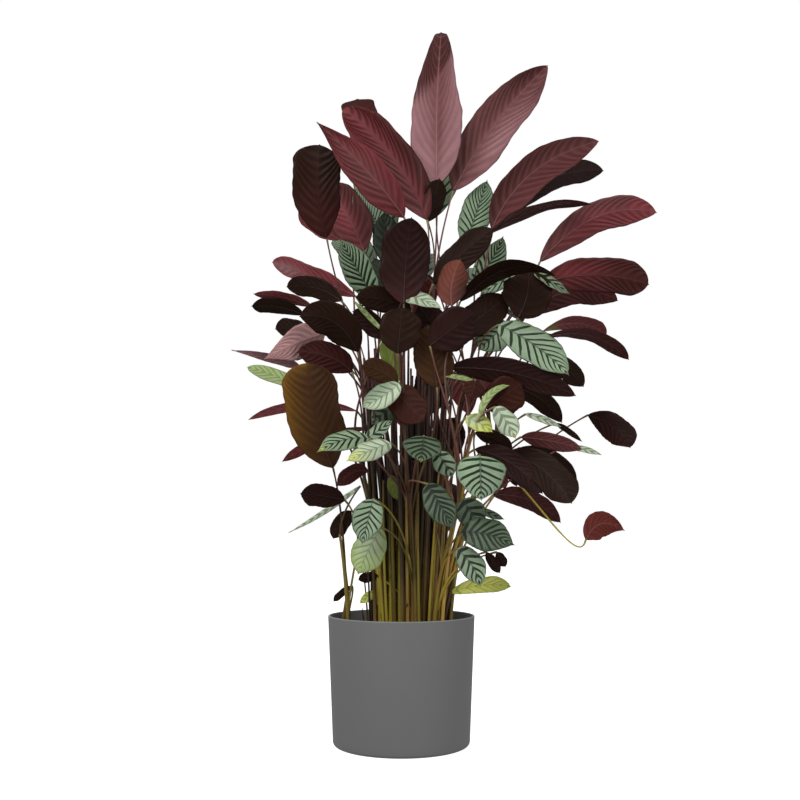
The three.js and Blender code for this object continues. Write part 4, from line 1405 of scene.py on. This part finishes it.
class PLANT_OT_pot(bpy.types.Operator):
    """Add the tapered grey pot"""

    bl_idname = "plant.pot"
    bl_label = "Add pot"

    def execute(self, context):
        pot = context.scene.plant_pot
        height = pot.height
        deselect()
        bpy.ops.mesh.primitive_cylinder_add(
            vertices=pot.sides, radius=pot.rim_radius, depth=height, location=(0, 0, height / 2)
        )
        made = named("round_pot")
        bpy.ops.object.transform_apply(location=True, rotation=True, scale=True)
        pick_parts(made, "vertices", lambda vertex: vertex.co.z < MM)
        narrow = pot.base_radius / pot.rim_radius
        bpy.ops.transform.resize(value=(narrow, narrow, 1))
        pick_parts(made, "polygons", lambda face: face.normal.z > 0.9)
        bpy.ops.mesh.inset(thickness=pot.wall, depth=0)
        bpy.ops.mesh.extrude_region_move(TRANSFORM_OT_translate={"value": (0, 0, pot.bottom - height)})
        narrow = inner_radius(pot.bottom, pot) / (pot.rim_radius - pot.wall)
        bpy.ops.transform.resize(value=(narrow, narrow, 1))
        pick_parts(made, "edges", lambda edge: all(p.z < MM for p in ends_of(made.data, edge)))
        bpy.ops.mesh.bevel(offset=pot.foot_rounding, segments=6, profile=0.5, affect="EDGES")
        pick_parts(made, "edges", lambda edge: self.is_round_lip(ends_of(made.data, edge), height))
        bpy.ops.mesh.bevel(offset=pot.lip_rounding, segments=4, profile=0.5, affect="EDGES")
        bpy.ops.mesh.select_all(action="SELECT")
        bpy.ops.mesh.normals_make_consistent(inside=False)
        bpy.ops.object.mode_set(mode="OBJECT")
        bpy.ops.object.shade_smooth_by_angle(angle=math.radians(35))
        made.data.materials.append(pot_finish(pot))
        finish_piece(made, "pot", "pot")
        return {"FINISHED"}

    @staticmethod
    def is_round_lip(ends, height):
        """Whether an edge with these ends runs round the rim, and not across it."""
        reaches = [math.hypot(end.x, end.y) for end in ends]
        return all(end.z > height - MM for end in ends) and abs(reaches[0] - reaches[1]) < 0.5 * MM


# Room between the soil and the pot, rings of faces on the mound, height of its lumps, and the bare
# strip by the wall where no crumb's middle lies
SOIL_GAP = 0.0004
MOUND_RINGS = 34
LUMP_HEIGHT = 0.0016
CRUMB_FREE = 0.007


class PLANT_OT_soil(bpy.types.Operator):
    """Add the mound of peat and the crumbs that lie on it"""

    bl_idname = "plant.soil"
    bl_label = "Add soil"

    def execute(self, context):
        pot, soil = context.scene.plant_pot, context.scene.plant_soil
        finish = soil_finish(soil)
        mound = self.mound(pot, soil)
        chance = random.Random("crumbs")
        deselect()
        bpy.ops.mesh.primitive_ico_sphere_add(subdivisions=1, radius=1)
        blank = named("crumb")
        crumbs = [self.crumb(blank, chance, pot, soil) for _ in range(soil.crumbs)]
        discard(blank)
        for each in (mound, *crumbs):
            each.data.materials.append(finish)
        made = join_all([mound, *crumbs], "potting_mix")
        finish_piece(made, "soil", "soil")
        return {"FINISHED"}

    @staticmethod
    def mound(pot, soil):
        """A solid block of soil with a rough, domed top."""
        top_radius = inner_radius(soil.edge_height, pot) - SOIL_GAP
        bottom = pot.bottom + SOIL_GAP
        depth = soil.edge_height - bottom
        middle = (0, 0, (soil.edge_height + bottom) / 2)
        deselect()
        bpy.ops.mesh.primitive_cylinder_add(vertices=96, radius=top_radius, depth=depth, location=middle)
        made = named("mound")
        bpy.ops.object.transform_apply(location=True, rotation=True, scale=True)
        pick_parts(made, "vertices", lambda vertex: vertex.co.z < soil.edge_height - MM)
        narrow = (inner_radius(bottom, pot) - SOIL_GAP) / top_radius
        bpy.ops.transform.resize(value=(narrow, narrow, 1))
        pick_parts(made, "polygons", lambda face: face.normal.z > 0.9)
        for _ in range(MOUND_RINGS):
            bpy.ops.mesh.inset(thickness=top_radius / (MOUND_RINGS + 1.5), depth=0)
        bpy.ops.mesh.poke()
        bpy.ops.object.mode_set(mode="OBJECT")
        places = places_of(made.data)
        radius = np.hypot(places[:, 0], places[:, 1])
        on_top = places[:, 2] > soil.edge_height - MM / 2
        x, y = places[:, 0] * 1000, places[:, 1] * 1000  # millimetres
        rough = np.sin(x / 5.1 + 1.3 * np.sin(y / 7.7)) * np.sin(y / 4.3 + 1.1 * np.sin(x / 6.1))
        rough += 0.6 * np.sin(x / 2.2 + y / 3.1) * np.sin(y / 1.9 - x / 4.7)
        inside = np.clip((top_radius - radius) / 0.004, 0, 1)
        height = soil_height(radius, pot, soil) + LUMP_HEIGHT * rough * inside
        places[:, 2] = np.where(on_top, height, places[:, 2])
        move_to(made.data, places)
        pick(made)
        bpy.ops.object.shade_smooth_by_angle(angle=math.radians(50))
        return made

    @staticmethod
    def crumb(blank, chance, pot, soil):
        """One crumb of peat, squashed and turned, and half sunk in the mound."""
        made = copy_of(blank, "crumb")
        reach = (inner_radius(soil.edge_height, pot) - CRUMB_FREE) * math.sqrt(chance.random())
        angle = chance.uniform(0, math.tau)
        size = soil.crumb * chance.uniform(0.22, 1) ** 1.6
        shape = np.array([chance.uniform(0.7, 1.5), chance.uniform(0.6, 1.1), chance.uniform(0.45, 0.8)])
        turn = chance.uniform(0, math.tau)
        x, y, z = (places_of(made.data) * shape * size).T
        cosine, sine = math.cos(turn), math.sin(turn)
        turned = np.stack([x * cosine - y * sine, x * sine + y * cosine, z], axis=1)
        centre = (reach * math.cos(angle), reach * math.sin(angle), float(soil_height(reach, pot, soil)))
        move_to(made.data, turned + np.array(centre) + (0, 0, size * 0.25))
        return made


# Stalks that run down beside their cane to the soil: how many a shoot has at most, how much thicker
# they are, the lowest share of the cane at which such a stalk leaves it, and how far from it they stand
STALKS_TO_SOIL = 4
THICKER_AT_SOIL = 1.6
LEAST_SHARE_TO_SOIL = 0.15
NEAREST_TO_CANE = 0.008
FURTHEST_FROM_CANE = 0.013
# Rings of a stem, how early stalks and canes taper, and the reach of the knee and of its green
STALK_RINGS = 48
STALK_TAPER = 0.7
CANE_TAPER = 0.8
KNEE_LENGTH = 0.011
GREEN_KNEE_LENGTH = 0.016
# How dark with age a shoot's stems are, from 0 to 1
STEM_AGES = {"shoot_left_outer": 0.7}


def stalk_path(curve, start_share, cane, offset):
    """A stalk's path. One with an offset runs down beside its cane into the soil."""
    upper = curve.point(np.linspace(0, 1, 40))
    if offset is None:
        return evenly(upper, STALK_RINGS + 1)
    shares = np.linspace(0, start_share, 30)[:-1]
    beside = cane.point(shares)
    beside[:, :2] += offset * (1 - (shares / start_share) ** 2)[:, None]
    return evenly(np.concatenate([beside, upper]), STALK_RINGS + 1)


def stalk_radii(path, settings, foot_radius):
    """Radii along a stalk: it tapers, and swells in a short knee below the blade."""
    run = run_along(path)
    radii = foot_radius + (settings.stalk_top - foot_radius) * (run / run[-1]) ** STALK_TAPER
    knee = np.exp(-(((run[-1] - run) / KNEE_LENGTH) ** 2))
    return radii + (settings.knee - settings.stalk_top) * knee


class PLANT_OT_stems(bpy.types.Operator):
    """Add each shoot's cane with the stalks of its leaves"""

    bl_idname = "plant.stems"
    bl_label = "Add stems"

    def execute(self, context):
        settings = context.scene.plant_stems
        finish = stem_finish(settings)
        blank = tube_blank("stem_blank", 8, STALK_RINGS)
        for shoot in SHOOTS:
            made = join_all(list(self.grow(shoot, blank, settings)), shoot.name + "_stems")
            made.data.materials.append(finish)
            finish_piece(made, "stem", shoot.name)
        discard(blank)
        return {"FINISHED"}

    def grow(self, shoot, blank, settings):
        """The cane, and then the stalks."""
        chance = random.Random(shoot.name)
        cane = cane_of(shoot, settings)
        path = evenly(cane.point(np.linspace(0, 1, 60)), STALK_RINGS + 1)
        taper = np.linspace(0, 1, STALK_RINGS + 1) ** CANE_TAPER
        radii = settings.cane_foot + (settings.cane_top - settings.cane_foot) * taper
        age = STEM_AGES.get(shoot.name, 0.0)
        yield self.stem(blank, path, radii, chance, 0.0, age)
        offsets = self.offsets(chance)
        for index, leaf in enumerate(shoot.leaves):
            curve, start_share = stalk_of(leaf, cane)
            to_soil = index % 2 == 0 and offsets and start_share > LEAST_SHARE_TO_SOIL
            offset = offsets.pop() if to_soil else None
            path = stalk_path(curve, start_share, cane, offset)
            radii = stalk_radii(path, settings, settings.stalk_foot * (THICKER_AT_SOIL if to_soil else 1.0))
            yield self.stem(blank, path, radii, chance, 1.0, age)

    @staticmethod
    def offsets(chance):
        """Places beside a cane's foot for the stalks that come out of the soil."""
        turn = chance.uniform(0, math.tau)
        found = []
        for index in range(STALKS_TO_SOIL):
            angle = turn + math.tau * index / STALKS_TO_SOIL
            reach = chance.uniform(NEAREST_TO_CANE, FURTHEST_FROM_CANE)
            found.append(np.array((reach * math.cos(angle), reach * math.sin(angle))))
        return found

    @staticmethod
    def stem(blank, path, radii, chance, knee, age):
        """One stem with its own shade, and with or without a greener knee at its top."""
        made = copy_of(blank, "stem")
        rings = lay_tube(made.data, path, radii)
        below_top = np.linalg.norm(path - path[-1], axis=1)[rings]
        set_value(made.data, "stem_shade", chance.random())
        set_value(made.data, "stem_age", age)
        set_value(made.data, "stem_knee", knee * np.exp(-((below_top / GREEN_KNEE_LENGTH) ** 2)))
        return made


# Old stalks and sheaths at the foot of the clump: where each starts and ends, and its radii
OLD_STALKS = [
    ((-52, -20, 184), (-58, -40, 318), 2.2, 1.2),
    ((-48, -16, 184), (-47, -30, 392), 2.4, 1.4),
    ((-56, -8, 182), (-66, -14, 296), 2.0, 1.0),
    ((66, -36, 184), (88, -42, 282), 3.4, 2.2),
    ((30, -60, 186), (28, -78, 420), 2.6, 1.4),
    ((-22, -48, 186), (-30, -72, 440), 2.6, 1.5),
    ((2, -58, 188), (-6, -90, 470), 2.8, 1.5),
    ((44, -56, 188), (62, -84, 450), 2.6, 1.5),
    ((-8, 46, 188), (-20, 90, 430), 2.6, 1.5),
    ((30, 56, 188), (52, 92, 440), 2.6, 1.5),
]
HUSKS = [
    ((-46, -8, 186), (-52, -14, 242), 7.0, 2.0),
    ((-40, -16, 186), (-40, -26, 232), 6.0, 2.0),
    ((-54, -14, 184), (-66, -22, 226), 5.5, 1.5),
    ((-36, -24, 186), (-30, -34, 236), 5.0, 1.5),
    ((-84, -42, 182), (-86, -46, 226), 5.0, 2.0),
    ((12, -48, 188), (10, -58, 236), 5.0, 1.5),
    ((74, -22, 186), (80, -28, 238), 5.5, 2.0),
    ((50, 40, 188), (56, 48, 244), 6.0, 2.0),
    ((2, 40, 189), (-2, 52, 240), 6.0, 2.0),
]
# Rings of a short stem, how deep it stands in the soil in metres, and how flat a sheath is
SHORT_RINGS = 16
SHORT_DEPTH = 0.012
HUSK_FLATNESS = 0.45

# More stalks in the thick of the clump, in millimetres: how many, round which place, how far out
# across and in depth, the height of their feet, their lowest and highest tops, and how old they look
FILLERS = 110
CLUMP_MIDDLE = (10, -8)
CLUMP_REACH = (50, 40)
FILLER_FOOT = 188
FILLER_LOW = 380
FILLER_HIGH = 680
FILLER_AGE = 0.25


class PLANT_OT_old_growth(bpy.types.Operator):
    """Add the old dark stalks and the dry sheaths at the foot of the clump"""

    bl_idname = "plant.old_growth"
    bl_label = "Add old growth"

    def execute(self, context):
        settings = context.scene.plant_stems
        blank = tube_blank("old_blank", 8, SHORT_RINGS)
        chance = random.Random("old growth")
        stalks = [self.short_stem(blank, row, chance) for row in OLD_STALKS]
        for _ in range(FILLERS):
            stalks.append(self.short_stem(blank, self.filler(chance), chance, age=FILLER_AGE))
        made = join_all(stalks, "old_stalks")
        made.data.materials.append(bpy.data.materials["stem_skin"])
        finish_piece(made, "stem")
        husks = [self.short_stem(blank, row, chance, flat=HUSK_FLATNESS) for row in HUSKS]
        made = join_all(husks, "dry_sheaths")
        made.data.materials.append(husk_finish(settings))
        finish_piece(made, "stem")
        discard(blank)
        return {"FINISHED"}

    @staticmethod
    def filler(chance):
        """A stalk in the thick of the clump, whose top is lost among the leaves."""
        angle = chance.uniform(0, math.tau)
        reach = math.sqrt(chance.random())
        middle_x, middle_y = CLUMP_MIDDLE
        x = middle_x + CLUMP_REACH[0] * reach * math.cos(angle)
        y = middle_y + CLUMP_REACH[1] * reach * math.sin(angle)
        height = chance.uniform(FILLER_LOW, FILLER_HIGH)
        spread = 1.25 + 0.5 * (height - FILLER_LOW) / 220
        top_x = middle_x + (x - middle_x) * spread + chance.uniform(-8, 12)
        top = (top_x, middle_y + (y - middle_y) * spread, height)
        return (x, y, FILLER_FOOT), top, chance.uniform(2.6, 4.6), chance.uniform(1.3, 2.0)

    @staticmethod
    def short_stem(blank, row, chance, flat=1.0, age=1.0):
        """A short stem that bends a little on its way."""
        start, end, low, high = row
        foot, top = in_metres(start) - SHORT_DEPTH * UP, in_metres(end)
        lean = np.array((chance.uniform(-6, 6), chance.uniform(-6, 6), 0)) * MM
        path = Curve(foot, (foot + top) / 2 + lean, top).point(np.linspace(0, 1, SHORT_RINGS + 1))
        radii = np.linspace(low, high, SHORT_RINGS + 1) * MM
        made = copy_of(blank, "old")
        lay_tube(made.data, path, radii, flat)
        set_value(made.data, "stem_shade", chance.random())
        set_value(made.data, "stem_age", chance.uniform(0.35, 1.0) * age)
        set_value(made.data, "stem_knee", 0.0)
        return made


# Columns and rows of the grids that large and small leaves are copied from
LARGE_GRID = (14, 76)
SMALL_GRID = (10, 40)


class PLANT_OT_leaves(bpy.types.Operator):
    """Add all the leaves"""

    bl_idname = "plant.leaves"
    bl_label = "Add leaves"

    def execute(self, context):
        settings, tones = context.scene.plant_leaves, context.scene.plant_tones
        finishes = [upperside_finish(), underside_finish(), rib_finish()]
        large = leaf_blank("large_leaf_blank", *LARGE_GRID)
        small = leaf_blank("small_leaf_blank", *SMALL_GRID)
        rib_blank = tube_blank("rib_blank", 6, RIB_RINGS)
        slots = {row["node"]: row["material_slot"] for row in frame["record"]["subparts"]}
        for shoot in SHOOTS:
            groups = {}
            for leaf in shoot.leaves:
                own_node = leaf.name in frame["nodes"]
                blank = large if own_node else small
                blade = grow_leaf(leaf, blank, rib_blank, settings, tones, finishes)
                if own_node:
                    finish_piece(blade, slots[leaf.name], leaf.name)
                else:
                    groups.setdefault(SLOT_OF_TONE[leaf.tone], []).append(blade)
            for slot_name, blades in groups.items():
                made = join_all(blades, f"{shoot.name}_small_{slot_name}")
                finish_piece(made, slot_name)
        discard(large, small, rib_blank)
        return {"FINISHED"}


# Where each square light stands, and how large it is. All look at the plant's axis, at one height.
LIGHTS = {
    "key": ((-1.5, -2.6, 2.6), 2.2),
    "fill": ((2.4, -1.9, 1.6), 2.0),
    "back": ((-0.6, 2.9, 1.9), 2.2),
}
LIT_HEIGHT = 0.55


class PLANT_OT_stage(bpy.types.Operator):
    """Add the pale floor, the soft lights and the camera"""

    bl_idname = "plant.stage"
    bl_label = "Add stage"

    def execute(self, context):
        scene, stage = context.scene, context.scene.plant_stage
        deselect()
        bpy.ops.mesh.primitive_plane_add(size=stage.floor_size)
        floor = named("paper_floor")
        floor.data.materials.append(floor_finish(stage))
        deselect()
        bpy.ops.mesh.primitive_uv_sphere_add(segments=48, ring_count=24, radius=stage.backdrop)
        backdrop = named("white_dome")
        backdrop.data.materials.append(backdrop_finish())
        for each in (floor, backdrop):
            each.visible_diffuse = False
            each.visible_glossy = False
            each.visible_shadow = False
        for name, (place, size) in LIGHTS.items():
            self.soft_light(name + "_light", place, size, getattr(stage, name))
        world = bpy.data.worlds.new("soft_white")
        world.use_nodes = True
        background = world.node_tree.nodes["Background"]
        background.inputs["Color"].default_value = (1, 1, 1, 1)
        background.inputs["Strength"].default_value = stage.sky
        scene.world = world
        scene.view_settings.view_transform = "Standard"
        deselect()
        place = (stage.camera_aside, -stage.camera_distance, stage.camera_height)
        bpy.ops.object.camera_add(location=place, rotation=(math.pi / 2 + stage.camera_tilt, 0, 0))
        camera = named("front_camera")
        camera.data.sensor_width = stage.sensor
        camera.data.lens = stage.lens
        scene.camera = camera
        return {"FINISHED"}

    @staticmethod
    def soft_light(name, place, size, power):
        """A square light that looks at the middle of the plant."""
        deselect()
        bpy.ops.object.light_add(type="AREA", location=place)
        light = named(name)
        light.data.size = size
        light.data.energy = power
        towards = light.location.copy()
        towards.z -= LIT_HEIGHT
        light.rotation_euler = towards.to_track_quat("Z", "Y").to_euler()


class PLANT_PT_sidebar(bpy.types.Panel):
    """The plant's sizes and colours, and the steps that build it"""

    bl_label = "Plant"
    bl_idname = "PLANT_PT_sidebar"
    bl_space_type = "VIEW_3D"
    bl_region_type = "UI"
    bl_category = "Plant"

    def draw(self, context):
        for operator in OPERATORS:
            self.layout.operator(operator.bl_idname)
        for name in SETTINGS:
            box = self.layout.box()
            group = getattr(context.scene, name)
            for key in group.__annotations__:
                box.prop(group, key)


SETTINGS = {
    "plant_pot": PotSettings,
    "plant_soil": SoilSettings,
    "plant_stems": StemSettings,
    "plant_leaves": LeafSettings,
    "plant_tones": LeafTones,
    "plant_stage": StageSettings,
}
OPERATORS = (
    PLANT_OT_pot,
    PLANT_OT_soil,
    PLANT_OT_stems,
    PLANT_OT_old_growth,
    PLANT_OT_leaves,
    PLANT_OT_stage,
)
CLASSES = (*SETTINGS.values(), *OPERATORS, PLANT_PT_sidebar)


def register():
    """Makes the settings, steps and panel known."""
    for each in CLASSES:
        bpy.utils.register_class(each)
    for name, group in SETTINGS.items():
        setattr(bpy.types.Scene, name, PointerProperty(type=group))


def unregister():
    """Takes them away again."""
    for name in SETTINGS:
        delattr(bpy.types.Scene, name)
    for each in reversed(CLASSES):
        bpy.utils.unregister_class(each)


def main():
    """Builds the plant step by step."""
    register()
    bpy.ops.plant.pot()
    bpy.ops.plant.soil()
    bpy.ops.plant.stems()
    bpy.ops.plant.old_growth()
    bpy.ops.plant.leaves()
    bpy.ops.plant.stage()


if __name__ == "__main__":
    main()
